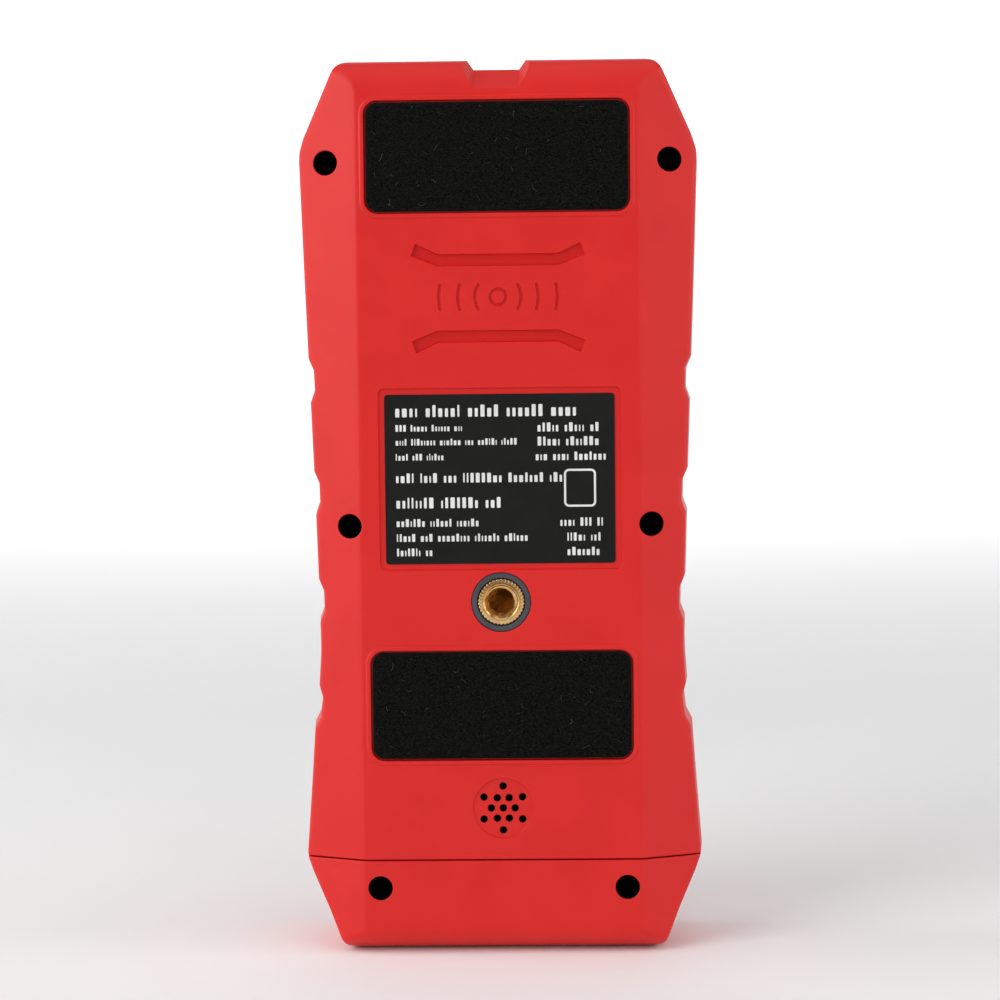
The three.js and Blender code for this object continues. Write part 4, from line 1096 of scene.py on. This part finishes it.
def build_tail(red):
    """Tail cover: the same back below the seam, held by the two lowest screws."""
    places = screw_places("tail")
    lips = [bore_lip(x, z, COUNTERBORE, 0.22) for x, z in places]
    piece = hollowed(back_solid("tail_case", False, lips), "tail_cover", back_core)
    for x, z in places:
        combine(piece, rod(x, z, COUNTERBORE + 0.012, -1, SCREW_SEAT), "DIFFERENCE")
    dress(piece, "case", "red_shell", red, "tail_cover")
    black_inside(piece, back_shade_mask([(x, z, COUNTERBORE) for x, z in places]))
    return shaded(piece)


# ------------------------------------------------------------------ the front of the case

# Depth of the ring, inset at the sides, inset at the ends: a softly rounded front edge.
FRONT_LEVELS = [(14.15, 0, 0), (17.5, 0.36, 0), (21, 0.8, 0.02), (23.5, 1.2, 0.25), (25.3, 1.7, 0.7),
                (26.5, 2.25, 1.25), (27.2, 2.75, 1.8), (27.55, 3.1, 2.2)]
BEZEL = {"width": 60.0, "height": 68.0, "corner": 5.0, "window": (47.0, 55.0), "z": LENGTH - 51.5}
KEY_NAMES = ("power", "mode", "zero", "laser")


def key_place(name):
    """Middle and radius of a key, from its packed flange."""
    low, high = box_mm(f"{name}_key")
    return (low.x + high.x) / 2, (low.z + high.z) / 2, (high.x - low.x) / 2 - 1


def front_solid(name, reliefs=()):
    """Closed solid of the front case, from the parting plane to its flat front."""
    rings = [(case_ring(side, end), depth) for depth, side, end in FRONT_LEVELS]
    rim, rim_depth = rings[-1]

    def depth_at(points):
        added = rounded_edge(np.maximum(-signed_distance(points, rim), 0), FRONT_ROUND)
        for relief in reliefs:
            added += relief.depth(points)
        return DEPTH - added

    region = offset(rim, -0.02)
    lines = []
    for inset in edge_insets(FRONT_ROUND[0]):
        line = offset(rim, -inset)
        lines += kept_runs(np.concatenate([line, line[:1]]), region)
    loops = [loop for relief in reliefs for loop in relief.loops()]
    return capped_solid(name, rim, depth_at, loops, lines, rings[-2::-1])


def front_core(skin):
    rings = [(case_ring(side + skin, end + skin), depth) for depth, side, end in FRONT_LEVELS[1:5]]
    rim = rings[-1][0]
    low = (case_ring(skin, skin), PARTING - 1)
    return capped_solid("core", rim, lambda p: np.full(len(p), DEPTH - 0.35 - skin), [], [],
                        rings[-1::-1] + [low])


def beam(name, loop, left, right):
    """A bar along X whose section is a loop of [depth, z]."""
    count = len(loop)
    vertices = [(left, y, z) for y, z in loop] + [(right, y, z) for y, z in loop]
    faces = [list(range(count)), list(range(count, 2 * count))]
    faces += [[i, (i + 1) % count, count + (i + 1) % count, count + i] for i in range(count)]
    return tidied(new_piece(name, vertices, faces))


def port_place():
    """Middle of the charging-port cover, as depth and height, and the depth of its seat."""
    low, high = box_mm("usb_cover")
    return (low.y + high.y) / 2 - BACK_Y, (low.z + high.z) / 2, low.x


def build_front(red):
    """Front case: display recess, key holes, light pipe and charging port."""
    keys = [key_place(name) for name in KEY_NAMES]
    bezel = rounded_rectangle(BEZEL["width"] + 2 * GAP, BEZEL["height"] + 2 * GAP, BEZEL["corner"] + GAP, 0,
                              BEZEL["z"])
    reliefs = [Relief(bezel, recess(1.5, 0.2, 0.05, 0.15)), bore_lip(0, PIPE_Z, 1.8, 0.15, 32)]
    reliefs += [bore_lip(x, z, radius + 0.4, 0.3, 64) for x, z, radius in keys]
    piece = hollowed(front_solid("front_case", reliefs), "front_shell", front_core)
    for x, z, radius in keys:
        combine(piece, rod(x, z, radius + 0.412, DEPTH - WALL - 1.2, DEPTH + 1, 64), "DIFFERENCE")
    combine(piece, rod(0, PIPE_Z, 1.81, 20.6, DEPTH + 1, 32), "DIFFERENCE")
    view = rounded_rectangle(BEZEL["window"][0] - 5, BEZEL["window"][1] - 5, 1, 0, BEZEL["z"])
    combine(piece, prism("view", view, DEPTH - WALL - 1.2, DEPTH + 1), "DIFFERENCE")
    depth, z, seat = port_place()
    slot = rounded_rectangle(6.6, 13.6, 0.9, depth, z)
    combine(piece, beam("slot", slot, seat - GAP, 60), "DIFFERENCE")
    socket = rounded_rectangle(3.8, 9.6, 0.3, depth, z)
    combine(piece, beam("socket", socket, seat - 8, 60), "DIFFERENCE")
    for cutter in [notch_straight()] + laser_cutters():
        combine(piece, cutter, "DIFFERENCE")
    dress(piece, "case", "red_shell", red, "front_shell")
    inner_ring = case_ring(2.0, 2.0)
    ledge = offset(bezel, -1.0)

    # Painted shade: faces behind the window and deep inside the front case get the near-black finish.
    def is_shaded_inside(places, depth):
        behind_window = inside(places, ledge) & (depth < DEPTH - 1.3)
        return behind_window | inside(places, inner_ring) & (depth < DEPTH - 2.4)

    black_inside(piece, is_shaded_inside)
    return shaded(piece)


# ------------------------------------------------------------------ pads, label, insert and screws


def felt_noise(x, z, nap):
    """Uneven height of matted fibres: a fine nap on a slow swell, in millimetres."""
    from_fibres = noise(Vector((x * 1.9, z * 2.6, 0.3)))
    from_swell = noise(Vector((x * 0.22, z * 0.3, 7.1)))
    return nap * from_fibres + 0.6 * nap * from_swell


def build_pad(which, settings):
    """Felt pad: a thin cushion with soft edges and an uneven nap, and loose fibres lying on it."""
    z = felt_place(which)
    width, height = settings.width / MM, settings.height / MM
    nap = settings.nap / MM
    rim = rounded_rectangle(width, height, FELT["corner"], 0, z, 10)
    top = box_mm(f"felt_pad_{which}")[0].y - BACK_Y + nap + 0.06

    def depth_at(points):
        away = np.maximum(-signed_distance(points, rim), 0)
        rough = np.array([felt_noise(x, h, nap) for x, h in points.tolist()])
        return top + rounded_edge(away, FELT_SIDE) + rough * np.clip(away / 0.4, 0, 1)

    loops = [offset(rim, -inset) for inset in edge_insets(FELT_SIDE[0])]
    across = np.arange(-width / 2, width / 2, 0.5)
    region = offset(rim, -0.62)
    lines = []
    for row in np.arange(z - height / 2, z + height / 2, 0.5):
        lines += kept_runs(np.stack([across, np.full(len(across), row)], 1), region)
    pad = capped_solid(f"felt_{which}", rim, depth_at, loops, lines, [(rim, FELT_FOOT)])
    dress(pad, "case", "felt", finish("felt"), f"felt_pad_{which}")
    shaded(pad, 60)
    fibres = build_fibres(f"felt_{which}_lint", z, top, width / 2 - 0.8, height / 2 - 0.8, settings.lint)
    dress(fibres, "case", "felt", finish("lint"))


def build_fibres(name, z, top, half_width, half_height, count):
    """Short curled threads that lie flat on a pad."""
    draw = random.Random(name)
    vertices, faces = [], []
    for _ in range(count):
        x, height = draw.uniform(-half_width, half_width), z + draw.uniform(-half_height, half_height)
        turn, bend = draw.uniform(0, 2 * math.pi), draw.uniform(-0.6, 0.6)
        thick = draw.uniform(0.011, 0.02)
        step = draw.uniform(0.1, 0.34)
        base = len(vertices)
        for i in range(6):
            lift = top - 0.03 - thick - 0.05 * math.sin(i * math.pi / 5)
            side_x, side_z = -math.sin(turn) * thick, math.cos(turn) * thick
            vertices += [(x + side_x, lift, height + side_z), (x - side_x, lift, height - side_z),
                         (x, lift - thick * 1.5, height)]
            x, height, turn = x + step * math.cos(turn), height + step * math.sin(turn), turn + bend
            x = max(-half_width, min(half_width, x))
            height = max(z - half_height, min(z + half_height, height))
        for i in range(5):
            a = base + 3 * i
            faces += [[a + k, a + (k + 1) % 3, a + 3 + (k + 1) % 3, a + 3 + k] for k in range(3)]
        faces += [[base, base + 1, base + 2], [base + 15, base + 16, base + 17]]
    return tidied(new_piece(name, vertices, faces))


# Lines of print on the label, from its middle: start and end of each run, height above the middle, and
# size as a share of a small line.
PRINT_RUNS = [
    (-20.8, -7.0, 10.3, 1.1), (7.6, 20.2, 10.3, 1.5), (-20.8, 3.6, 7.5, 1.1), (7.6, 20.2, 7.5, 1.5),
    (-20.8, -11.2, 4.5, 1.1), (7.2, 21.0, 4.5, 1.4), (-20.8, 12.4, 0.3, 1.6), (-20.8, 1.2, -4.7, 1.8),
    (-20.8, -4.0, -8.7, 1.3), (12.0, 20.4, -8.7, 1.4), (-20.8, 6.0, -11.7, 1.3), (13.4, 20.4, -11.7, 1.4),
    (-20.8, -13.6, -14.6, 1.3), (13.4, 20.4, -14.6, 1.4),
]


def greeked(start, end, z, height, draw):
    """Upright blocks in groups of a few, which stand for a run of print without being letters."""
    loops = []
    x = start
    left = draw.randint(3, 8)
    while x < end:
        width = height * draw.choice((0.16, 0.26, 0.34, 0.4))
        tall = height * draw.choice((0.72, 0.72, 1.0))
        if x + width <= end + 0.2:
            middle = z - (height - tall) / 2
            loops.append(rounded_rectangle(width, tall, 0.07 * height, x + width / 2, middle, 2))
        x += width + 0.22 * height
        left -= 1
        if left == 0:
            x += 0.5 * height
            left = draw.randint(3, 8)
    return loops


def build_label(settings):
    """Rating label: a thin printed film lying on the floor of its recess."""
    low, high = box_mm("rating_label")
    middle = (low.z + high.z) / 2
    thick = settings.thickness / MM
    film_top = LABEL["floor"] - thick
    loop = rounded_rectangle(high.x - low.x, high.z - low.z, LABEL["corner"], 0, middle)
    film = slab("rating_film", loop, film_top, LABEL["floor"], 0.05)
    dress(film, "case", "label", finish("label"), "rating_label")
    shaded(film)
    draw = random.Random(4)
    loops = greeked(LABEL["left"], 17.2, middle + 13.7, settings.heading / MM, draw)
    for start, end, height, share in PRINT_RUNS:
        loops += greeked(start, end, middle + height, share * settings.line / MM, draw)
    ink = (film_top - INK, film_top + 0.01)
    pieces = [slab("ink", loop, *ink, 0.008, 1) for loop in loops]
    pieces.append(frame_mark(16, middle - 1.9, 6.4, 7.6, 0.42, *ink))
    dress(joined("rating_print", pieces), "case", "label", finish("ink"))


def frame_mark(x, z, width, height, line, top, bottom):
    """A plain rounded frame, drawn in ink."""
    outer = slab("mark", rounded_rectangle(width, height, 1.0, x, z), top, bottom, 0.008, 1)
    opening = rounded_rectangle(width - 2 * line, height - 2 * line, 0.6, x, z)
    return combine(outer, prism("hole", opening, top - 1, bottom + 1), "DIFFERENCE")


def build_insert(settings):
    """Brass tripod insert with knurled shoulder, chamfer and thread, in its dark sleeve."""
    pitch = settings.pitch / MM
    teeth = settings.teeth
    knurled = [(4.5, 10), (4.75, 9.7), (4.75, 0.75), (4.68, 0.6), (4.4, 0.52), (4.05, 0.5), (3.86, 0.48)]
    face = [(3.8, 0.34), (3.74, 0.22), (3.66, 0.2), (3.56, 0.2), (3.5, 0.23), (3.2, 0.62)]
    thread = [(3.2, depth) for depth in np.arange(0.7, 6.8, pitch / 10)]
    profile = knurled + face + thread + [(2.7, 7.0), (1.2, 7.85), (0.05, 8.5)]

    def wave(row, radius, depth, turns):
        if row < len(knurled):
            saw = np.abs((turns * teeth / (2 * math.pi)) % 1 - 0.5) * 2
            reach = np.clip((radius - 3.86) / 0.5, 0, 1)
            return radius - 0.3 * saw * reach
        if len(knurled) + len(face) <= row < len(knurled) + len(face) + len(thread):
            phase = (depth / pitch - turns / (2 * math.pi)) % 1
            return radius - 0.55 * (1 - np.abs(2 * phase - 1))
        return np.full(len(turns), float(radius))

    brass = turned("brass_insert", profile, 0, TRIPOD_Z, teeth * 6, wave)
    dress(brass, "case", "brass", finish("brass"), "tripod_insert")
    shaded(brass, 28)
    inner, outer = 4.84, 5.93
    rows = [(inner, 0.3), (inner + 0.1, 0.16), (inner + 0.2, 0.12), (outer - 0.2, 0.12),
            (outer - 0.06, 0.18), (outer, 0.3), (outer, 10), (inner, 10)]
    sleeve = turned_ring("nylon_sleeve", rows, 0, TRIPOD_Z, 72)
    dress(sleeve, "case", "sleeve", finish("sleeve"), "insert_sleeve")
    shaded(sleeve)


def turned_ring(name, rows, x, z, count):
    """A turned ring: the section closes on itself."""
    turns = np.arange(count) * 2 * math.pi / count
    vertices = [(x + r * math.cos(t), depth, z + r * math.sin(t)) for r, depth in rows for t in turns]
    faces = []
    for row in range(len(rows)):
        a, b = row * count, (row + 1) % len(rows) * count
        faces += [[a + i, a + (i + 1) % count, b + (i + 1) % count, b + i] for i in range(count)]
    return tidied(new_piece(name, vertices, faces))


def build_case_screws():
    """Six pan-head screws, deep in their bores."""
    low, high = box_mm("case_screw_top_right")
    top, end = low.y - BACK_Y, high.y - BACK_Y
    head = [(0.02, 0), (0.9, 0.02), (1.5, 0.16), (1.9, 0.5), (2.08, 1.0), (2.1, 1.8)]
    head = [(radius, top + depth) for radius, depth in head]
    shank = [(1.25, top + 1.8), (1.25, end - 1.6), (0.3, end)]
    pattern = turned("screw", head + shank, 0, 0, 36)
    for wide, deep in ((1.25, 0.3), (0.3, 1.25)):
        rows = [(sx * wide, top - 0.5, sz * deep) for sx in (-1, 1) for sz in (-1, 1)]
        rows += [(sx * wide * 0.45, top + 1.1, sz * deep * 0.6) for sx in (-1, 1) for sz in (-1, 1)]
        combine(pattern, hull("cross", rows), "DIFFERENCE")
    for name in ("top", "middle", "tail"):
        for (x, z), side in zip(screw_places(name), ("left", "right")):
            screw = placed(f"pan_screw_{name}_{side}", pattern.data.copy())
            screw.location = (x * MM, 0, z * MM)
            dress(screw, "case", "black_screw", finish("black_screw"), f"case_screw_{name}_{side}")
            shaded(screw)
    bpy.data.objects.remove(pattern)


# ------------------------------------------------------------------ display, keys and port cover


def segment(name, loops, top, bottom):
    return joined(name, [slab("mark", loop, top, bottom, 0.01, 1) for loop in loops])


def box_loop(x0, x1, z0, z1, corner=0.25):
    return rounded_rectangle(x1 - x0, z1 - z0, corner, (x0 + x1) / 2, (z0 + z1) / 2, 3)


def display_loops(z):
    """Generic sensing picture: a centre line, waves of bars that rise towards it, a cell and a scale."""
    loops = [box_loop(-0.35, 0.35, z - 14, z + 12)]
    for i in range(7):
        tall = 17 - 2 * i
        for side in (-1, 1):
            x = side * (2.6 + 2.5 * i)
            loops.append(box_loop(x - 0.7, x + 0.7, z - 14, z - 14 + tall))
    loops += [box_loop(-19, 19, z - 16.6, z - 16.1, 0.2)]
    loops += [box_loop(x - 0.2, x + 0.2, z - 19, z - 17.2, 0.1) for x in np.arange(-18, 18.1, 4.5)]
    loops += [box_loop(13 + 1.7 * i, 14.1 + 1.7 * i, z + 18.4, z + 21) for i in range(3)]
    for i in range(4):
        loops.append(stroke(arc(1.3 + 1.2 * i, -18.5, z + 18.4, 20, 70, 8), 0.28))
    return loops


def build_display():
    """Bezel, window, liquid-crystal panel and its segments."""
    z = BEZEL["z"]
    width, height = BEZEL["window"]
    rim = rounded_rectangle(BEZEL["width"] - 1.0, BEZEL["height"] - 1.0, BEZEL["corner"] - 0.5, 0, z, 10)
    base = rounded_rectangle(BEZEL["width"], BEZEL["height"], BEZEL["corner"], 0, z, 10)
    well = Relief(rounded_rectangle(width, height, 1.3, 0, z), recess(1.2, 0.35, 0.05, 0.1))

    def depth_at(points):
        away = np.maximum(-signed_distance(points, rim), 0)
        return DEPTH + 0.6 - rounded_edge(away, (0.6, 0.25)) - well.depth(points)

    loops = well.loops() + [offset(rim, -inset) for inset in edge_insets(0.6)]
    walls = [(between(rim, base, s), DEPTH + 0.35 - 0.3 * (1 - math.sqrt(1 - s * s)))
             for s in (0.4, 0.7, 0.9, 1)]
    bezel = capped_solid("display_bezel", rim, depth_at, loops, [], walls + [(base, DEPTH - 1.2)])
    hole = rounded_rectangle(width - 0.24, height - 0.24, 1.1, 0, z)
    combine(bezel, prism("hole", hole, 20, 40), "DIFFERENCE")
    dress(bezel, "case", "dark_plastic", finish("dark_plastic"), "front_bezel")
    shaded(bezel)
    low, high = box_mm("display_window")
    glass = rounded_rectangle(high.x - low.x, high.z - low.z, 1, 0, z)
    pane = slab("display_pane", glass, high.y - BACK_Y, low.y - BACK_Y, 0.2)
    dress(pane, "case", "display_glass", finish("display_glass"), "display_window")
    shaded(pane)
    low, high = box_mm("lcd_panel")
    top = high.y - BACK_Y
    field = rounded_rectangle(high.x - low.x, high.z - low.z, 0.3, 0, z)
    panel = slab("lcd_cell", field, top, low.y - BACK_Y, 0.1)
    dress(panel, "case", "display_glass", finish("lcd_field"), "lcd_panel")
    shaded(panel)
    marks = segment("lcd_segments", display_loops(z), top + 0.03, top - 0.02)
    dress(marks, "case", "display_glass", finish("lcd_mark"))


def key_symbol(name, x, z, half):
    """Generic key symbols: power, change of mode, zero and beam."""
    if name == "power":
        return [stroke(arc(2.6, x, z, 125, 415, 30), half),
                box_loop(x - half, x + half, z + 0.6, z + 3.4, half * 0.9)]
    if name == "mode":
        return [box_loop(x - 2.2, x + 2.2, z + k * 1.5 - half, z + k * 1.5 + half, half * 0.9)
                for k in (-1, 0, 1)]
    if name == "zero":
        return [stroke([(x - 3.2, z), (x - 1.2, z)], half), stroke([(x + 3.2, z), (x + 1.2, z)], half),
                box_loop(x - half, x + half, z - 2.2, z + 2.2, half * 0.9)]
    rays = [box_loop(x - half, x + half, z - half, z + half, half * 0.9)]
    for turn in range(8):
        way = Vector((math.cos(turn * math.pi / 4), math.sin(turn * math.pi / 4)))
        ends = [(x + way.x * reach, z + way.y * reach) for reach in (1.4, 2.7)]
        rays.append(stroke(ends, half * 0.75))
    return rays


def build_key(name, settings):
    """Dished rubber key with a printed symbol, on its flange."""
    x, z, radius = key_place(name)
    low, high = box_mm(f"{name}_key")
    base, top = low.y - BACK_Y, high.y - BACK_Y
    dish = settings.dish / MM
    flange, bevel = 1.0, 0.7
    rows = [(0.02, base), (radius + flange, base), (radius + flange, base + 0.4), (radius, base + 0.4)]
    rows += [(radius - bevel * (1 - math.cos(t)), top - bevel * (1 - math.sin(t)))
             for t in np.radians((0, 20, 45, 70, 90))]
    rows += [(radius * s, top - dish * (1 - (s / 0.9) ** 2)) for s in (0.8, 0.65, 0.5, 0.35, 0.2)]
    key = turned(f"{name}_cap", rows + [(0.02, top - dish)], x, z, 64)
    dress(key, f"{name}_button", "key_rubber", finish("key_rubber"), f"{name}_key")
    shaded(key)
    loops = key_symbol(name, x, z, settings.symbol / MM / 2)
    symbol = segment(f"{name}_symbol", loops, top - dish + 0.1, top - dish - 0.15)
    dress(symbol, f"{name}_button", "key_rubber", finish("ink"))


def build_port_cover():
    """Rubber cover of the charging port, shaped to the side wall, with a ridge for a fingernail."""
    low, high = box_mm("usb_cover")
    depth, z, seat = port_place()
    shape = rounded_rectangle(high.y - low.y, high.z - low.z, 0.6, depth, z)
    cover = combine(beam("port_flap_cover", shape, seat, 60), front_solid("wall"), "INTERSECT")
    edge = max(v.co.x for v in cover.data.vertices) / MM
    grip = [(edge - 0.6 + 0.85 * math.cos(t), depth - 2.0 + 0.55 * math.sin(t)) for t in
            np.radians(np.arange(-90, 91, 20))]
    rows = [(x, y, z + side * tall) for x, y in grip for side, tall in ((-1, 3.4), (1, 3.4))]
    combine(cover, hull("ridge", rows), "UNION")
    dress(cover, "port_flap", "rubber", finish("rubber"), "usb_cover")
    shaded(cover)


def build_light_pipe():
    low, high = box_mm("status_light_pipe")
    z, top = (low.z + high.z) / 2, high.y - BACK_Y
    rows = [(1.5, low.y - BACK_Y), (1.5, top - 0.25), (1.42, top - 0.1), (1.2, top - 0.02), (0.7, top),
            (0.05, top)]
    pipe = turned("light_guide", rows, 0, z, 32)
    dress(pipe, "case", "clear_plastic", finish("clear_plastic"), "status_light_pipe")
    shaded(pipe)


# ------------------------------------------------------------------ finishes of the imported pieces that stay

INSIDE = {
    "circuit_board": ("main_board", "sensor_board"),
    "steel": ("board_screw_lower_left", "board_screw_lower_right", "board_screw_upper_left",
              "board_screw_upper_right", "usb_socket", "shield_can"),
    "dark_plastic": ("power_switch", "mode_switch", "zero_switch", "laser_switch", "processor", "sounder",
                     "usb_tongue"),
    "white_plastic": ("power_plunger", "mode_plunger", "zero_plunger", "laser_plunger", "lcd_frame",
                      "ribbon_socket", "board_ribbon", "battery_socket", "status_led"),
    "copper": ("sensor_coil", "sense_plate_left", "sense_plate_right"),
    "brass": ("laser_module",),
    "diffuser": ("backlight_panel",),
    "clear_plastic": ("laser_window",),
    "foil": ("battery_cell",),
    "foam": ("battery_foam",),
    "wire_red": ("laser_cable", "battery_lead_positive"),
    "wire_black": ("sounder_cable", "battery_lead_negative"),
    "grille_cloth": ("sounder_cloth",),
}


def finish_inside():
    """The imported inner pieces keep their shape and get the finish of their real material."""
    for name, nodes in INSIDE.items():
        for node in nodes:
            mesh_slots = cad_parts[node].material_slots
            if not mesh_slots:
                raise RuntimeError(f"{node} has no material slot")
            for mesh_slot in mesh_slots:
                mesh_slot.material = finish(name)


# ------------------------------------------------------------------ stage


def area_light(name, place, aim, size, power, height=None):
    data = bpy.data.lights.new(name, "AREA")
    data.shape = "RECTANGLE"
    data.size = size
    data.size_y = height or size
    data.energy = power
    light = placed(name, data)
    light.location = place
    light.rotation_mode = "QUATERNION"
    light.rotation_quaternion = (Vector(aim) - Vector(place)).to_track_quat("-Z", "Y")


def build_camera(settings):
    """Camera square to the back, a little above it, with a slight roll."""
    turn, rise, tilt = math.radians(1.2), math.radians(3.872), math.radians(-0.586)
    back = Vector((math.sin(turn) * math.cos(rise), -math.cos(turn) * math.cos(rise), math.sin(rise)))
    data = bpy.data.cameras.new("camera")
    data.sensor_width = 36
    data.lens = settings.lens
    camera = placed("camera", data)
    aim = Vector((-0.000027, BACK_Y * MM, 0.0923))
    right = (-back).cross(Vector((0, 0, 1))).normalized()
    up = right.cross(-back)
    leaned_right = math.cos(tilt) * right + math.sin(tilt) * up
    leaned_up = -math.sin(tilt) * right + math.cos(tilt) * up
    axes = Matrix((leaned_right, leaned_up, back)).transposed()
    camera.matrix_world = Matrix.Translation(aim + back * settings.distance) @ axes.to_4x4()
    bpy.context.scene.camera = camera


def build_floor(settings):
    """Seamless paper sweep: floor, a wide bend and a wall behind."""
    half, near, far, high, bend = 4.0, -3.0, 2.2, 4.0, 1.2
    path = [(near, 0.0), (far - bend, 0.0)]
    turns = np.radians(np.arange(6, 91, 6))
    path += [(far - bend + bend * math.sin(t), bend - bend * math.cos(t)) for t in turns]
    path.append((far, high))
    vertices = [(side * half, y, z) for y, z in path for side in (-1, 1)]
    faces = [[2 * i, 2 * i + 1, 2 * i + 3, 2 * i + 2] for i in range(len(path) - 1)]
    mesh = bpy.data.meshes.new("paper_sweep")
    mesh.from_pydata(vertices, [], faces)
    mesh.shade_smooth()
    sweep = placed("paper_sweep", mesh)
    colour = tuple(settings.floor)
    shade = tuple(c * 0.985 for c in colour)
    paper = grained("seamless_paper", shade, colour, 1.5, (0.85, 0.95), 0.01, 300.0)
    mesh.materials.append(paper)


def build_lights():
    middle = (0, 0, 0.09)
    area_light("softbox_left", (-1.1, -0.9, 0.75), middle, 1.0, 13.5, 1.4)
    area_light("softbox_right", (1.05, -1.2, 0.7), middle, 1.6, 6)
    area_light("strip_left", (-0.9, 0.05, 0.2), middle, 0.35, 4, 1.2)
    area_light("strip_right", (0.95, -0.15, 0.25), middle, 0.35, 3.5, 1.2)
    area_light("overhead", (0, -0.3, 1.5), middle, 1.4, 4)
    area_light("backdrop", (0, 1.0, 1.2), (0, 2.2, 0.5), 2.5, 20, 0.6)
    world = bpy.data.worlds.new("studio")
    world.use_nodes = True
    background = world.node_tree.nodes["Background"]
    background.inputs["Color"].default_value = solid_colour("FFFFFF")
    background.inputs["Strength"].default_value = 0.25
    bpy.context.scene.world = world
    bpy.context.scene.view_settings.view_transform = "Standard"


# ------------------------------------------------------------------ operators and panel


class SCANNER_OT_case(bpy.types.Operator):
    """Builds the rear case, the tail cover and the front case"""

    bl_idname = "scanner.case"
    bl_label = "Case"

    def execute(self, context):
        settings = context.scene.scanner_case
        red = soft_touch_red(settings.light, settings.dark)
        build_rear(settings, red)
        build_tail(red)
        build_front(red)
        return {"FINISHED"}


class SCANNER_OT_pads(bpy.types.Operator):
    """Builds the two felt pads"""

    bl_idname = "scanner.pads"
    bl_label = "Felt pads"

    def execute(self, context):
        for which in ("upper", "lower"):
            build_pad(which, context.scene.scanner_pads)
        return {"FINISHED"}


class SCANNER_OT_label(bpy.types.Operator):
    """Builds the rating label and its print"""

    bl_idname = "scanner.label"
    bl_label = "Rating label"

    def execute(self, context):
        build_label(context.scene.scanner_label)
        return {"FINISHED"}


class SCANNER_OT_insert(bpy.types.Operator):
    """Builds the brass tripod insert and its sleeve"""

    bl_idname = "scanner.insert"
    bl_label = "Tripod insert"

    def execute(self, context):
        build_insert(context.scene.scanner_insert)
        return {"FINISHED"}


class SCANNER_OT_screws(bpy.types.Operator):
    """Builds the six case screws"""

    bl_idname = "scanner.screws"
    bl_label = "Case screws"

    def execute(self, context):
        build_case_screws()
        return {"FINISHED"}


class SCANNER_OT_display(bpy.types.Operator):
    """Builds the bezel, the window, the display and the status light"""

    bl_idname = "scanner.display"
    bl_label = "Display"

    def execute(self, context):
        build_display()
        build_light_pipe()
        return {"FINISHED"}


class SCANNER_OT_keys(bpy.types.Operator):
    """Builds the four keys and their symbols"""

    bl_idname = "scanner.keys"
    bl_label = "Keys"

    def execute(self, context):
        for name in KEY_NAMES:
            build_key(name, context.scene.scanner_keys)
        return {"FINISHED"}


class SCANNER_OT_port_cover(bpy.types.Operator):
    """Builds the rubber cover of the charging port"""

    bl_idname = "scanner.port_cover"
    bl_label = "Port cover"

    def execute(self, context):
        build_port_cover()
        return {"FINISHED"}


class SCANNER_OT_inside(bpy.types.Operator):
    """Gives the inner pieces their finishes"""

    bl_idname = "scanner.inside"
    bl_label = "Inner finishes"

    def execute(self, context):
        finish_inside()
        return {"FINISHED"}


class SCANNER_OT_stage(bpy.types.Operator):
    """Makes the camera, the floor and the lights"""

    bl_idname = "scanner.stage"
    bl_label = "Stage"

    def execute(self, context):
        settings = context.scene.scanner_stage
        build_camera(settings)
        build_floor(settings)
        build_lights()
        return {"FINISHED"}


GROUPS = {
    "scanner_case": ScannerCase, "scanner_pads": ScannerPads, "scanner_label": ScannerLabel,
    "scanner_insert": ScannerInsert, "scanner_keys": ScannerKeys, "scanner_stage": ScannerStage,
}
OPERATORS = (
    SCANNER_OT_stage, SCANNER_OT_case, SCANNER_OT_pads, SCANNER_OT_label, SCANNER_OT_insert,
    SCANNER_OT_screws, SCANNER_OT_display, SCANNER_OT_keys, SCANNER_OT_port_cover, SCANNER_OT_inside,
)


class SCANNER_PT_panel(bpy.types.Panel):
    """Lists the builders and their sizes"""

    bl_idname = "SCANNER_PT_panel"
    bl_label = "Wall scanner"
    bl_space_type = "VIEW_3D"
    bl_region_type = "UI"
    bl_category = "Scanner"

    def draw(self, context):
        for operator in OPERATORS:
            self.layout.operator(operator.bl_idname)
        for name, group in GROUPS.items():
            box = self.layout.box()
            box.label(text=name)
            for key in group.__annotations__:
                box.prop(getattr(context.scene, name), key)


def register():
    for group in GROUPS.values():
        bpy.utils.register_class(group)
    for operator in OPERATORS:
        bpy.utils.register_class(operator)
    bpy.utils.register_class(SCANNER_PT_panel)
    for name, group in GROUPS.items():
        setattr(bpy.types.Scene, name, bpy.props.PointerProperty(type=group))


def unregister():
    for name in GROUPS:
        delattr(bpy.types.Scene, name)
    bpy.utils.unregister_class(SCANNER_PT_panel)
    for item in reversed([*GROUPS.values(), *OPERATORS]):
        bpy.utils.unregister_class(item)


def main():
    register()
    bpy.ops.scanner.stage()
    bpy.ops.scanner.case()
    bpy.ops.scanner.pads()
    bpy.ops.scanner.label()
    bpy.ops.scanner.insert()
    bpy.ops.scanner.screws()
    bpy.ops.scanner.display()
    bpy.ops.scanner.keys()
    bpy.ops.scanner.port_cover()
    bpy.ops.scanner.inside()


if __name__ == "__main__":
    main()
